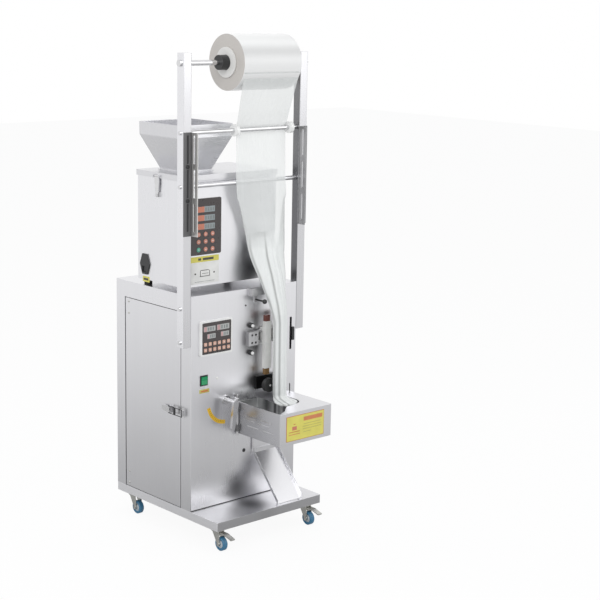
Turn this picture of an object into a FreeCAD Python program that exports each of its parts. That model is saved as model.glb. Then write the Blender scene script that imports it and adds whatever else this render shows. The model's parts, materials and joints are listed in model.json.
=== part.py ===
import FreeCAD, Part
import Sketcher
import math
import os

# Free-standing machine that weighs powder or grain and seals it into bags of film.
# The row frame has +Z up, +X to the right seen from the front and -Y towards the user.
# Its origin is on the floor, under the middle of the whole machine. All sizes are in millimetres.

SIZES = {
    # base tray and casters
    "caster_height": 74, "tray_thickness": 28, "tray_reach": 136, "tray_skin": 3, "tray_wall": 3,
    "tray_pad": 66, "tray_corner": 4,
    "caster_inset": 34, "caster_front_inset": 39, "caster_rear_inset": 52, "caster_trail": 19,
    "caster_plate": 50, "caster_plate_thickness": 3, "swivel_gap": 0.5, "crown_radius": 21,
    "crown_thickness": 7, "kingpin_radius": 6,
    "wheel_radius": 22.5, "wheel_width": 18, "fork_gap": 1.2, "fork_sheet": 2.5, "axle_radius": 4,
    "axle_head": 3, "axle_head_radius": 6.5, "running_gap": 0.05, "foot_clear": 9,
    "pedal_length": 56, "pedal_width": 17, "pedal_thickness": 4, "pedal_pin": 3, "pedal_drop": 9,
    # cabinet
    "cabinet_width": 440, "cabinet_depth": 400, "cabinet_height": 700, "sheet": 2, "bend_radius": 3,
    "rim_height": 54, "front_column": 50, "rear_column": 48, "rear_recess": 4, "rear_flange": 16,
    "rear_panel_thickness": 1.5, "vent_length": 120, "vent_height": 5, "vent_pitch": 16,
    "sensor_slot_left": 412, "sensor_slot_width": 9, "sensor_slot_bottom": 474, "sensor_slot_height": 109,
    "short_slot_bottom": 325, "short_slot_height": 32,
    # side door
    "door_gap": 2.5, "door_foot": 2, "door_depth": 14, "door_skin": 1.5, "door_pin_radius": 3,
    "door_pin_length": 15, "door_latch_up": 320, "keeper_front": 30, "keeper_width": 12,
    "catch_width": 18, "catch_pin": 1.5, "catch_back": 98, "catch_out": 6, "wire_radius": 1.25,
    # posts, slotted brackets and rollers
    "post_width": 32, "post_wall": 2, "post_corner": 3, "post_grip": 160, "post_height": 906,
    "bracket_length": 318, "bracket_thickness": 2, "bracket_rise": 3, "slot_length": 88,
    "slot_width": 7, "slot_pitch": 104, "slot_foot": 14, "slot_forward": 16,
    "roller_radius": 7, "roller_gap": 1, "stud_radius": 3, "stud_length": 36, "stud_head": 4,
    "stud_head_radius": 6, "upper_roller_drop": 240, "lower_roller_drop": 404,
    "bolt_radius": 4, "bolt_head": 4, "bolt_head_radius": 6.5, "bolt_low": 16, "bolt_high": 123,
    "ring_radius": 19, "ring_width": 12, "ring_clear": 4,
    # film and its roll
    "shaft_radius": 8.5, "shaft_neck": 6, "shaft_drop": 30.5, "shaft_nut": 6, "shaft_nut_radius": 10,
    "roll_radius": 87, "roll_width": 232, "roll_clear": 60, "core_radius": 43, "core_wall": 5,
    "chuck_flange": 4, "chuck_radius": 47, "chuck_plug": 22, "clamp_radius": 23, "clamp_length": 28,
    "film_thickness": 1, "film_width": 206, "film_clear": 40, "film_gap": 0.3, "film_drift": 28,
    "film_flare": 10,
    # weigher, its lid and hopper
    "weigher_inset": 40, "weigher_left": 1, "weigher_width": 378, "weigher_depth": 240,
    "weigher_height": 336, "weigher_wall": 2, "feet_height": 20, "feet_radius": 13, "feet_inset": 24,
    "lid_height": 15, "lid_lip": 3, "lid_gap": 0.5, "lid_skin": 2, "lid_hinge_radius": 4,
    "lid_pin_radius": 2, "lid_hinge_length": 40,
    "hopper_left": 111, "hopper_back": 132, "hopper_rim": 210, "hopper_rim_height": 40,
    "hopper_rim_taper": 0.5, "hopper_height": 152, "hopper_neck_height": 5,
    "hopper_wall": 1.5, "hopper_flange": 3, "hopper_mouth": 118,
    "latch_forward": 170, "latch_width": 22, "latch_drop": 66,
    "panel_left": 23, "panel_width": 124, "panel_height": 178, "panel_drop": 58, "panel_thickness": 3,
    "panel_corner": 6, "key_size": 15, "key_height": 1, "key_pitch": 27.5, "key_low": 22,
    "inlet_back": 226, "inlet_up": 17, "inlet_width": 50, "inlet_height": 66, "inlet_depth": 4,
    # forming spout and film tube
    "tube_left": 313, "tube_reach": 67, "tube_radius": 17, "tube_wall": 1.2, "tube_drop": 78,
    "tube_end_gap": 18, "film_tube_radius": 19.5, "spout_width": 78, "spout_depth": 34,
    "spout_top": 140, "mouth_forward": 22, "throat_up": 78, "throat_width": 50, "throat_depth": 40,
    "shoulder_forward": 38, "slide_width": 56, "slide_rise": 50, "slide_reach": 150, "slide_ear": 14,
    "film_mouth_up": 163, "film_mouth_width": 184, "film_mouth_depth": 46, "film_shoulder_up": 73,
    "film_shoulder_width": 126, "film_shoulder_depth": 56, "film_back_opening": 112,
    "film_end_gap": 36,
    "clamp_arm": 79, "clamp_arm_width": 14, "clamp_arm_drop": 14, "knob_radius": 6, "knob_left": 52,
    # weighing gear inside
    "tray_width": 70, "feeder_length": 220, "feeder_up": 280, "bucket_width": 84, "bucket_depth": 70,
    "bucket_height": 90, "bucket_up": 178, "bucket_back": 70, "seat_gap": 0.3,
    # controller, switch and crank
    "controller_left": 33, "controller_width": 127, "controller_height": 112, "controller_drop": 83,
    "controller_depth": 9, "controller_corner": 5, "button_width": 10, "button_height": 13,
    "button_pitch": 18.2, "button_row_pitch": 20.5, "button_left": 15, "button_low": 12,
    "switch_left": 37, "switch_width": 30, "switch_height": 34, "switch_drop": 258,
    "switch_frame": 3, "switch_depth": 2, "rocker_height": 5,
    "crank_left": 142, "crank_up": 347, "crank_reach": 49, "crank_flange_radius": 15,
    "crank_flange_thickness": 5, "crank_shaft_radius": 6.5, "crank_hub_radius": 11,
    "crank_tip_radius": 7, "crank_length": 82, "crank_lean": 11, "crank_thickness": 10,
    # back sealing bars and pull wheels
    "seal_up": 436, "seal_length": 156, "seal_bar_width": 26, "seal_bar_depth": 14, "seal_cap": 20,
    "seal_opening": 13, "seal_back": 23, "seal_pin_radius": 4, "seal_pin_back": 11, "seal_pin_low": 88,
    "seal_pin_pitch": 34, "seal_block_left": 222, "seal_block_width": 40, "seal_block_height": 46,
    "seal_block_up": 514, "seal_block_depth": 18, "seal_block_hole": 4,
    "wheel_up": 380, "pull_radius": 23, "pull_width": 14, "pull_nip": 0.4, "pull_shaft": 5,
    "pull_hub": 7, "pull_back": 31,
    # guard, jaws and chute
    "guard_left": 189, "guard_width": 220, "guard_reach": 212, "guard_height": 105, "guard_up": 229,
    "guard_sheet": 1.5, "guard_gap": 2, "guard_slot_left": 83, "guard_slot_width": 84,
    "guard_slot_reach": 141, "hinge_rod": 3, "hinge_tube": 5.5, "hinge_tube_length": 22,
    "hinge_back": 9, "hinge_rise": 24, "louvre_length": 56, "louvre_height": 3,
    "jaw_half": 62, "jaw_height": 46, "jaw_depth": 14, "jaw_opening": 31, "jaw_rod": 5,
    "jaw_rod_half": 54, "jaw_up": 20, "jaw_tooth": 2,
    "chute_left": 258, "chute_width": 106, "chute_up": 146, "chute_reach": 128, "chute_wall": 1.5,
    "chute_side": 15, "chute_foot": 3, "chute_bar_height": 18, "chute_bar_overlap": 8,
    # drive inside the cabinet
    "shelf_up": 150, "shelf_depth": 180, "shelf_flange": 18, "cam_back": 90, "cam_up": 96,
    "cam_shaft_radius": 10, "cam_radius": 34, "cam_lift": 12, "cam_width": 14, "motor_radius": 38,
    "motor_length": 110, "gearbox": 84, "gearbox_width": 60,
}


class Formula:
    """A size with its formula in the sheet, so that plain sums bind what they build."""

    def __init__(self, text, value):
        self.text = text
        self.value = float(value)

    def __add__(self, other):
        other = formula(other)
        return Formula("(%s + %s)" % (self.text, other.text), self.value + other.value)

    def __sub__(self, other):
        other = formula(other)
        return Formula("(%s - %s)" % (self.text, other.text), self.value - other.value)

    def __mul__(self, other):
        other = formula(other)
        return Formula("(%s * %s)" % (self.text, other.text), self.value * other.value)

    def __truediv__(self, other):
        other = formula(other)
        return Formula("(%s / %s)" % (self.text, other.text), self.value / other.value)

    def __neg__(self):
        return formula(0) - self

    def __radd__(self, other):
        return formula(other) + self

    def __rsub__(self, other):
        return formula(other) - self

    def __rmul__(self, other):
        return formula(other) * self


def formula(value):
    """Turn a plain number into a formula, and leave a formula as it is."""
    return value if isinstance(value, Formula) else Formula("%.6g" % value, value)


class Sizes:
    """The driving sizes: each name gives the formula that reads its cell."""

    def __init__(self, sheet, values):
        for row, (name, value) in enumerate(values.items(), 1):
            sheet.set("A%d" % row, name)
            sheet.set("B%d" % row, str(value))
            sheet.setAlias("B%d" % row, name)
            setattr(self, name, Formula("sizes." + name, value))


doc = FreeCAD.newDocument("powder_filling_machine")
sizes_sheet = doc.addObject("Spreadsheet::Sheet", "sizes")
s = Sizes(sizes_sheet, SIZES)
doc.recompute()

NODES = {}
X_AXIS = FreeCAD.Vector(1, 0, 0)
Y_AXIS = FreeCAD.Vector(0, 1, 0)
Z_AXIS = FreeCAD.Vector(0, 0, 1)
ALONG = {
    "x": FreeCAD.Rotation(Y_AXIS, 90),
    "y": FreeCAD.Rotation(X_AXIS, -90),
    "z": FreeCAD.Rotation(),
}


def bind(thing, prop, value):
    """Tie one property to a formula."""
    thing.setExpression(prop, formula(value).text)


def place(thing, corner, rotation=None):
    """Tie a position to three formulas, with a fixed turn."""
    if rotation is not None:
        thing.Placement = FreeCAD.Placement(FreeCAD.Vector(), rotation)
    for axis, value in zip("xyz", corner):
        bind(thing, "Placement.Base." + axis, value)


def keep(name, thing):
    """Name a finished sub-part, which gets a file of its own."""
    thing.Label = name
    NODES[name] = thing
    return thing


def box(corner, lengths):
    """A block from its lowest corner and its three lengths."""
    block = doc.addObject("Part::Box", "Block")
    for prop, value in zip(("Length", "Width", "Height"), lengths):
        bind(block, prop, value)
    place(block, corner)
    return block


def rod(axis, start, radius, length):
    """A round bar that starts at a point and runs along an axis."""
    bar = doc.addObject("Part::Cylinder", "Round")
    bind(bar, "Radius", radius)
    bind(bar, "Height", length)
    place(bar, start, ALONG[axis])
    return bar


def ball(centre, radius):
    """A ball round its centre."""
    sphere = doc.addObject("Part::Sphere", "Ball")
    bind(sphere, "Radius", radius)
    place(sphere, centre)
    return sphere


def join(*things):
    """One solid out of several that touch or overlap."""
    fused = doc.addObject("Part::MultiFuse", "Joined")
    fused.Shapes = list(things)
    fused.Refine = True
    return fused


def group(*things):
    """Separate solids that share one sub-part."""
    several = doc.addObject("Part::Compound", "Group")
    several.Links = list(things)
    return several


def cut(base, *tools):
    """A solid with other solids taken out of it."""
    result = doc.addObject("Part::Cut", "Cut")
    result.Base = base
    result.Tool = tools[0] if len(tools) == 1 else group(*tools)
    return result


def tube(axis, start, radius, bore, length):
    """A round bar with a bore right through."""
    return cut(rod(axis, start, radius, length), rod(axis, start, bore, length))


def body(corner):
    """An empty body whose own origin is placed by three formulas."""
    part = doc.addObject("PartDesign::Body", "Body")
    place(part, corner)
    return part


def sketch(part, role, offset=0):
    """A sketch on one of the body's own planes, moved along the plane's normal."""
    drawing = part.newObject("Sketcher::SketchObject", "Sketch")
    plane = [item for item in part.Origin.OriginFeatures if item.Role == role][0]
    drawing.AttachmentSupport = [(plane, "")]
    drawing.MapMode = "FlatFace"
    bind(drawing, "AttachmentOffset.Base.z", offset)
    return drawing


def locate(drawing, item, end, point):
    """Tie one end of a line, or a circle's centre, to two formulas."""
    for kind, value in zip(("DistanceX", "DistanceY"), point):
        place_value = formula(value)
        row = drawing.addConstraint(Sketcher.Constraint(kind, -1, 1, item, end, place_value.value))
        drawing.setExpression("Constraints[%d]" % row, place_value.text)


def outline(drawing, points):
    """A closed outline of straight lines through points given as formulas."""
    flat = [FreeCAD.Vector(formula(x).value, formula(y).value, 0) for x, y in points]
    lines = [Part.LineSegment(a, b) for a, b in zip(flat, flat[1:] + flat[:1])]
    first = drawing.addGeometry(lines, False)[0]
    count = len(points)
    for index in range(count):
        follower = first + (index + 1) % count
        drawing.addConstraint(Sketcher.Constraint("Coincident", first + index, 2, follower, 1))
        locate(drawing, first + index, 1, points[index])


def rectangle(drawing, x, y, width, height):
    """A rectangle from its lowest corner and its two lengths."""
    outline(drawing, [(x, y), (x + width, y), (x + width, y + height), (x, y + height)])


def round_slot(drawing, x, y, width, height):
    """An upright slot with round ends, from its lowest corner, its width and its whole height."""
    half = width / 2
    low, high = y + half, y + height - half
    ends = [(x, low), (x, high), (x + width, high), (x + width, low)]
    at = [FreeCAD.Vector(formula(u).value, formula(v).value, 0) for u, v in ends]
    lines = [Part.LineSegment(at[0], at[1]), Part.LineSegment(at[2], at[3])]
    left_line = drawing.addGeometry(lines, False)[0]
    right_line = left_line + 1
    radius = formula(half).value
    for middle, start, first, last, level in (((at[1] + at[2]) / 2, 0, (right_line, 1), (left_line, 2), high),
                                              ((at[0] + at[3]) / 2, math.pi, (left_line, 1), (right_line, 2), low)):
        bow = Part.ArcOfCircle(Part.Circle(middle, Z_AXIS, radius), start, start + math.pi)
        arc = drawing.addGeometry(bow, False)
        drawing.addConstraint(Sketcher.Constraint("Coincident", arc, 1, first[0], first[1]))
        drawing.addConstraint(Sketcher.Constraint("Coincident", arc, 2, last[0], last[1]))
        height_of = formula(level)
        row = drawing.addConstraint(Sketcher.Constraint("DistanceY", -1, 1, arc, 3, height_of.value))
        drawing.setExpression("Constraints[%d]" % row, height_of.text)
    for item, end, point in ((left_line, 1, ends[0]), (left_line, 2, ends[1]),
                             (right_line, 1, ends[2]), (right_line, 2, ends[3])):
        locate(drawing, item, end, point)


def circle(drawing, x, y, radius):
    """A circle from its centre and radius."""
    radius = formula(radius)
    centre = FreeCAD.Vector(formula(x).value, formula(y).value, 0)
    item = drawing.addGeometry(Part.Circle(centre, Z_AXIS, radius.value), False)
    locate(drawing, item, 3, (x, y))
    row = drawing.addConstraint(Sketcher.Constraint("Radius", item, radius.value))
    drawing.setExpression("Constraints[%d]" % row, radius.text)


def pad(part, drawing, length, reverse=False):
    """Raise a sketch into a solid, along its plane's normal or against it."""
    feature = part.newObject("PartDesign::Pad", "Pad")
    feature.Profile = drawing
    bind(feature, "Length", length)
    feature.Reversed = reverse
    return feature


def pocket(part, drawing, length, reverse=False):
    """Cut a sketch into the solid, against its plane's normal unless reversed."""
    feature = part.newObject("PartDesign::Pocket", "Pocket")
    feature.Profile = drawing
    bind(feature, "Length", length)
    feature.Reversed = reverse
    return feature


def rows(part, feature, drawing, axis, pitch, count):
    """Repeat a feature along one of its sketch's axes."""
    pattern = part.newObject("PartDesign::LinearPattern", "Rows")
    pattern.Originals = [feature]
    pattern.Direction = (drawing, [axis])
    pattern.Mode = "Spacing"
    bind(pattern, "Offset", pitch)
    pattern.Occurrences = count
    part.Tip = pattern
    return pattern


def soften(part, feature, radius, wanted):
    """Round the edges of a feature that a test picks."""
    doc.recompute()
    names = ["Edge%d" % number for number, edge in enumerate(feature.Shape.Edges, 1) if wanted(edge)]
    rounded = part.newObject("PartDesign::Fillet", "Rounded")
    rounded.Base = (feature, names)
    bind(rounded, "Radius", radius)
    return rounded


def runs_along(edge, axis):
    """Whether an edge is straight and parallel to an axis."""
    if not isinstance(edge.Curve, Part.Line):
        return False
    return abs(edge.Curve.Direction.dot(axis)) > 0.999


def upright(edge):
    """Whether an edge stands upright."""
    return runs_along(edge, Z_AXIS)


def ring(centre, half_width, half_depth):
    """A flat oval seen from above, as a section of a loft."""
    oval = doc.addObject("Part::Ellipse", "Oval")
    bind(oval, "MajorRadius", half_width)
    bind(oval, "MinorRadius", half_depth)
    place(oval, centre)
    return oval


def loft(*sections):
    """A solid drawn through flat sections, with straight sides between them."""
    skin = doc.addObject("Part::Loft", "Loft")
    skin.Sections = list(sections)
    skin.Solid = True
    skin.Ruled = True
    return skin


# Places that the sub-parts share
left = -s.cabinet_width / 2
right = s.cabinet_width / 2
front = (s.guard_reach - s.cabinet_depth) / 2
rear = front + s.cabinet_depth
deck = s.caster_height + s.tray_thickness
top = deck + s.cabinet_height
post_bottom = top - s.post_grip
post_top = post_bottom + s.post_height
post_middle = front + s.post_width / 2
weigher_front = front + s.weigher_inset
weigher_x = left + s.weigher_left
weigher_bottom = top + s.feet_height
weigher_top = weigher_bottom + s.weigher_height
tube_x = left + s.tube_left
tube_y = front - s.tube_reach
mouth_y = weigher_front - s.mouth_forward
shoulder_y = weigher_front - s.shoulder_forward
guard_bottom = deck + s.guard_up
guard_top = guard_bottom + s.guard_height
upper_roller_z = post_top - s.upper_roller_drop
lower_roller_z = post_top - s.lower_roller_drop
switch_bottom = top - s.switch_drop - s.switch_height
film_left = right - s.film_clear - s.film_width
lid_axis_x = weigher_x + s.weigher_width + s.lid_hinge_radius + s.lid_gap * 2 + s.lid_lip
latch_y = front + s.latch_forward
lid_axis_z = weigher_top + s.lid_hinge_radius
shaft_z = post_top - s.shaft_drop


def make_base_tray():
    """Folded tray that carries the machine, with a pad in each corner for a caster."""
    part = body((left, front - s.tray_reach, s.caster_height))
    depth = s.cabinet_depth + s.tray_reach
    plan = sketch(part, "XY_Plane")
    rectangle(plan, formula(0), formula(0), s.cabinet_width, depth)
    plate = pad(part, plan, s.tray_thickness)
    rounded = soften(part, plate, s.tray_corner, upright)
    hollow = sketch(part, "XY_Plane")
    near, far = s.tray_wall, s.tray_pad
    wide, deep = s.cabinet_width, depth
    outline(hollow, [(far, near), (wide - far, near), (wide - far, far), (wide - near, far),
                     (wide - near, deep - far), (wide - far, deep - far), (wide - far, deep - near),
                     (far, deep - near), (far, deep - far), (near, deep - far), (near, far),
                     (far, far)])
    pocket(part, hollow, s.tray_thickness - s.tray_skin, reverse=True)
    return keep("base_tray", part)


def make_cabinet():
    """Sheet cabinet with a door opening at its left, an open floor and a recessed back."""
    part = body((left, front, deck))
    wide, deep, high = s.cabinet_width, s.cabinet_depth, s.cabinet_height
    plan = sketch(part, "XY_Plane")
    rectangle(plan, formula(0), formula(0), wide, deep)
    block = pad(part, plan, high)
    soften(part, block, s.bend_radius, upright)
    inside = sketch(part, "XY_Plane")
    inner_depth = deep - s.sheet * 2 - s.rear_recess
    rectangle(inside, s.sheet, s.sheet, wide - s.sheet * 2, inner_depth)
    pocket(part, inside, high - s.sheet, reverse=True)
    doorway = sketch(part, "YZ_Plane")
    doorway_depth = deep - s.front_column - s.rear_column
    rectangle(doorway, s.front_column, formula(0), doorway_depth, high - s.rim_height)
    pocket(part, doorway, s.sheet + 0.1, reverse=True)
    recess = sketch(part, "XZ_Plane", -deep)
    rectangle(recess, s.sheet, s.sheet, wide - s.sheet * 2, high - s.sheet * 2)
    pocket(part, recess, s.rear_recess, reverse=True)
    window = sketch(part, "XZ_Plane", -deep)
    flange = s.rear_flange
    rectangle(window, flange, flange, wide - flange * 2, high - flange * 2)
    pocket(part, window, s.rear_recess + s.sheet + 0.1, reverse=True)
    slots = sketch(part, "XZ_Plane")
    rectangle(slots, s.sensor_slot_left, s.sensor_slot_bottom, s.sensor_slot_width, s.sensor_slot_height)
    rectangle(slots, s.sensor_slot_left + s.sensor_slot_width / 4, s.short_slot_bottom, s.sensor_slot_width / 2,
              s.short_slot_height)
    wheel_gap = s.pull_shaft + 1
    for side in (-1, 1):
        circle(slots, s.tube_left + (s.pull_radius + s.pull_nip / 2) * side, s.wheel_up, wheel_gap)
        circle(slots, s.tube_left + s.jaw_rod_half * side, s.guard_up + s.jaw_up + s.jaw_height / 2, s.jaw_rod)
    circle(slots, s.crank_left, s.crank_up, s.crank_shaft_radius + s.running_gap)
    window_x, window_z = s.switch_left + s.switch_frame, switch_bottom - deck + s.switch_frame
    window_wide, window_high = s.switch_width - s.switch_frame * 2, s.switch_height - s.switch_frame * 2
    rectangle(slots, window_x, window_z, window_wide, window_high)
    pocket(part, slots, s.sheet)
    bolt_holes = sketch(part, "YZ_Plane")
    for level in (s.bolt_low, s.bolt_high):
        circle(bolt_holes, s.post_width / 2, post_bottom - deck + level, s.bolt_radius)
    pocket(part, bolt_holes, wide, reverse=True)
    return keep("cabinet_shell", part)


def make_rear_panel():
    """Plate that closes the back of the cabinet, with two sets of vent slots."""
    gap = formula(1)
    inset = s.sheet + gap
    part = body((left + inset, rear - s.rear_recess + s.rear_panel_thickness, deck + inset))
    wide = s.cabinet_width - inset * 2
    high = s.cabinet_height - inset * 2
    face = sketch(part, "XZ_Plane")
    rectangle(face, formula(0), formula(0), wide, high)
    pad(part, face, s.rear_panel_thickness)
    vents = sketch(part, "XZ_Plane")
    for level in (high * 0.14, high * 0.7):
        rectangle(vents, (wide - s.vent_length) / 2, level, s.vent_length, s.vent_height)
    first = pocket(part, vents, s.rear_panel_thickness * 2)
    first.Midplane = True
    rows(part, first, vents, "V_Axis", s.vent_pitch, 6)
    return keep("rear_panel", part)


door_low = front + s.front_column + s.door_gap
door_high = rear - s.rear_column - s.door_gap
door_bottom = deck + s.door_foot
door_top = top - s.rim_height - s.door_foot
door_axis_x = left + s.door_depth / 2
door_axis_y = door_high - s.door_depth / 2


def make_side_door():
    """Pan-shaped door that hangs on a pin at its lower and upper rear corner."""
    part = body((left, door_low, door_bottom))
    long, high = door_high - door_low, door_top - door_bottom
    face = sketch(part, "YZ_Plane")
    rectangle(face, formula(0), formula(0), long, high)
    slab = pad(part, face, s.door_depth)

    def rear_corner(edge):
        return upright(edge) and edge.CenterOfMass.y > long.value / 2
    soften(part, slab, s.door_skin * 2, rear_corner)
    inside = sketch(part, "YZ_Plane", s.door_skin)
    rectangle(inside, s.door_skin, s.door_skin, long - s.door_skin * 2, high - s.door_skin * 2)
    pocket(part, inside, s.door_depth, reverse=True)
    blocks = sketch(part, "YZ_Plane", s.door_skin / 2)
    side = s.door_depth - s.door_skin
    for level in (s.door_skin / 2, high - s.door_skin / 2 - s.door_pin_length):
        rectangle(blocks, long - side - s.door_skin / 2, level, side, s.door_pin_length)
    pad(part, blocks, s.door_depth - s.door_skin / 2)
    bores = sketch(part, "XY_Plane")
    circle(bores, s.door_depth / 2, long - s.door_depth / 2, s.door_pin_radius + s.running_gap)
    pocket(part, bores, high, reverse=True)
    return keep("side_door", join(part, make_door_latch()))


def make_door_fittings():
    """The two pins that the door hangs on, and the keeper of its draw latch."""
    radius, length = s.door_pin_radius, s.door_pin_length
    lower = rod("z", (door_axis_x, door_axis_y, deck), radius, length)
    upper = rod("z", (door_axis_x, door_axis_y, door_top - length + 2), radius, length + s.door_foot - 2)
    shelf_corner = (left + s.sheet, door_axis_y - s.door_depth / 2, door_top + s.door_foot)
    shelf = box(shelf_corner, (s.door_depth, s.door_depth, s.sheet))
    keeper_y = front + s.keeper_front
    plate = box((left - 1.5, keeper_y, latch_z - 14), (1.5, s.keeper_width, 28))
    lip_size = (s.catch_out + 6, 2, s.catch_width)
    lip = box((left - s.catch_out - 6, keeper_y + 4, latch_z - s.catch_width / 2), lip_size)
    door_parts = [lower, join(upper, shelf), join(plate, lip)]
    return keep("hinge_fittings", group(*door_parts, *make_lid_hinges()))


latch_z = deck + s.door_latch_up
latch_pivot_x = left - s.catch_out
latch_pivot_y = front + s.catch_back
loop_pivot_x = latch_pivot_x - 5
loop_pivot_y = latch_pivot_y + 4


def make_door_latch():
    """Draw latch: a lever on the door that pulls a wire loop over the keeper's lip."""
    half = s.catch_width / 2
    foot = latch_z - half
    ears = [box((left - s.catch_out - 2.5, latch_pivot_y - 3, level), (s.catch_out + 2.6, 6, 2))
            for level in (foot - 2.5, foot + s.catch_width + 0.5)]
    plate = box((left - 1, latch_pivot_y - 12, latch_z - half - 2.5), (1.1, 24, s.catch_width + 5))
    pin = rod("z", (latch_pivot_x, latch_pivot_y, foot - 2.5), s.catch_pin, s.catch_width + 5)
    hub = rod("z", (latch_pivot_x, latch_pivot_y, foot), 3.5, s.catch_width)
    arm = box((loop_pivot_x - 2.5, latch_pivot_y - 3, foot), (7, 10, s.catch_width))
    grip = box((loop_pivot_x + 1, latch_pivot_y, foot), (3, 32, s.catch_width))
    grip_end = rod("x", (loop_pivot_x + 1, latch_pivot_y + 32, latch_z), half, 3)
    bores = [rod("z", (latch_pivot_x, latch_pivot_y, foot), s.catch_pin + s.running_gap, s.catch_width),
             rod("z", (loop_pivot_x, loop_pivot_y, foot), s.wire_radius + s.running_gap, s.catch_width)]
    keep("door_latch_lever", cut(join(hub, arm, grip, grip_end), *bores))
    wire = s.wire_radius
    out = half + wire + 1.2
    bar_y = front + s.keeper_front + 4 - wire - s.seat_gap
    reach = loop_pivot_y - bar_y
    cross = rod("z", (loop_pivot_x, loop_pivot_y, latch_z - out), wire, out * 2)
    hook = rod("z", (loop_pivot_x, bar_y, latch_z - out), wire, out * 2)
    sides = [rod("y", (loop_pivot_x, bar_y, latch_z + side), wire, reach) for side in (-out, out)]
    sleeve = rod("z", (loop_pivot_x, bar_y + 38, latch_z - out), wire + 2.5, out * 2)
    keep("door_latch_loop", join(cross, hook, sleeve, *sides))
    return join(plate, pin, *ears)


def make_post(name, corner_x, inner_side):
    """Square tube bolted to the side of the cabinet, closed at its top."""
    part = body((corner_x, front, post_bottom))
    wide = s.post_width
    plan = sketch(part, "XY_Plane")
    rectangle(plan, formula(0), formula(0), wide, wide)
    bar = pad(part, plan, s.post_height)
    soften(part, bar, s.post_corner, upright)
    inside = sketch(part, "XY_Plane")
    wall = s.post_wall
    rectangle(inside, wall, wall, wide - wall * 2, wide - wall * 2)
    pocket(part, inside, s.post_height - wall, reverse=True)
    holes = sketch(part, "YZ_Plane", wide / 2)
    middle = wide / 2
    circle(holes, middle, shaft_z - post_bottom, s.shaft_neck + s.running_gap)
    circle(holes, middle, upper_roller_z - post_bottom, s.stud_radius)
    circle(holes, middle, lower_roller_z - post_bottom, s.stud_radius)
    circle(holes, middle, s.bolt_low, s.bolt_radius)
    circle(holes, middle, s.bolt_high, s.bolt_radius)
    drilled = pocket(part, holes, wide * 2)
    drilled.Midplane = True
    return keep(name, part)


def make_bracket(corner_x, flat_left, leg_left):
    """Slotted angle: a flat leg on the post's front and a leg that stands forward."""
    foot = upper_roller_z + s.bracket_rise - s.bracket_length
    part = body((corner_x, front, foot))
    wide, thick = s.post_width, s.bracket_thickness
    plan = sketch(part, "XY_Plane")
    leg = leg_left
    if flat_left:
        outline(plan, [(formula(0), -thick), (leg, -thick), (leg, -wide), (leg + thick, -wide),
                       (leg + thick, formula(0)), (formula(0), formula(0))])
    else:
        outline(plan, [(formula(0), -wide), (thick, -wide), (thick, -thick), (wide, -thick),
                       (wide, formula(0)), (formula(0), formula(0))])
    pad(part, plan, s.bracket_length)
    flat = sketch(part, "XZ_Plane")
    round_slot(flat, (wide - s.slot_width) / 2, s.slot_foot, s.slot_width, s.slot_length)
    first = pocket(part, flat, thick * 2)
    first.Midplane = True
    rows(part, first, flat, "V_Axis", s.slot_pitch, 3)
    forward = sketch(part, "YZ_Plane", leg)
    round_slot(forward, -s.slot_forward - s.slot_width / 2, s.slot_foot, s.slot_width, s.slot_length)
    second = pocket(part, forward, thick * 3)
    second.Midplane = True
    rows(part, second, forward, "V_Axis", s.slot_pitch, 3)
    return part


def make_posts():
    """Both posts, their slotted brackets, and the bolts and studs that go through them."""
    make_post("left_post", left - s.post_width, 1)
    make_post("right_post", right, -1)
    leg_left = s.post_width - s.bracket_thickness
    brackets = [make_bracket(left - s.post_width, True, leg_left), make_bracket(right, False, formula(0))]
    keep("slotted_brackets", group(*brackets))
    bolts = []
    for level in (post_bottom + s.bolt_low, post_bottom + s.bolt_high):
        for outer, step in ((left - s.post_width, 1), (right + s.post_width, -1)):
            bolts.append(bolt(outer, step, level, s.bolt_radius, s.post_width + s.sheet + 6,
                              s.bolt_head_radius, s.bolt_head))
    for level in (upper_roller_z, lower_roller_z):
        for outer, step in ((left - s.post_width, 1), (right + s.post_width, -1)):
            bolts.append(bolt(outer, step, level, s.stud_radius, s.post_width + s.stud_length,
                              s.stud_head_radius, s.stud_head))
    keep("post_bolts", group(*bolts))


def bolt(outer, step, level, radius, length, head_radius, head):
    """A bolt through a post, with its head outside and its shank pointing inwards."""
    start = outer if step > 0 else outer - length
    head_start = outer - head if step > 0 else outer
    shank = rod("x", (start, post_middle, level), radius, length)
    cap = rod("x", (head_start, post_middle, level), head_radius, head)
    return join(shank, cap)


def make_rollers():
    """Two idler rollers between the posts, the upper one with two film guide rings."""
    length = s.cabinet_width - s.roller_gap * 2
    bore = s.stud_radius + s.running_gap
    start = left + s.roller_gap
    keep("upper_roller", tube("x", (start, post_middle, upper_roller_z), s.roller_radius, bore, length))
    keep("lower_roller", tube("x", (start, post_middle, lower_roller_z), s.roller_radius, bore, length))
    rings = []
    for edge in (film_left - s.ring_width - s.ring_clear, film_left + s.film_width + s.ring_clear):
        rings.append(tube("x", (edge, post_middle, upper_roller_z), s.ring_radius, s.roller_radius,
                          s.ring_width))
    keep("guide_rings", group(*rings))


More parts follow.
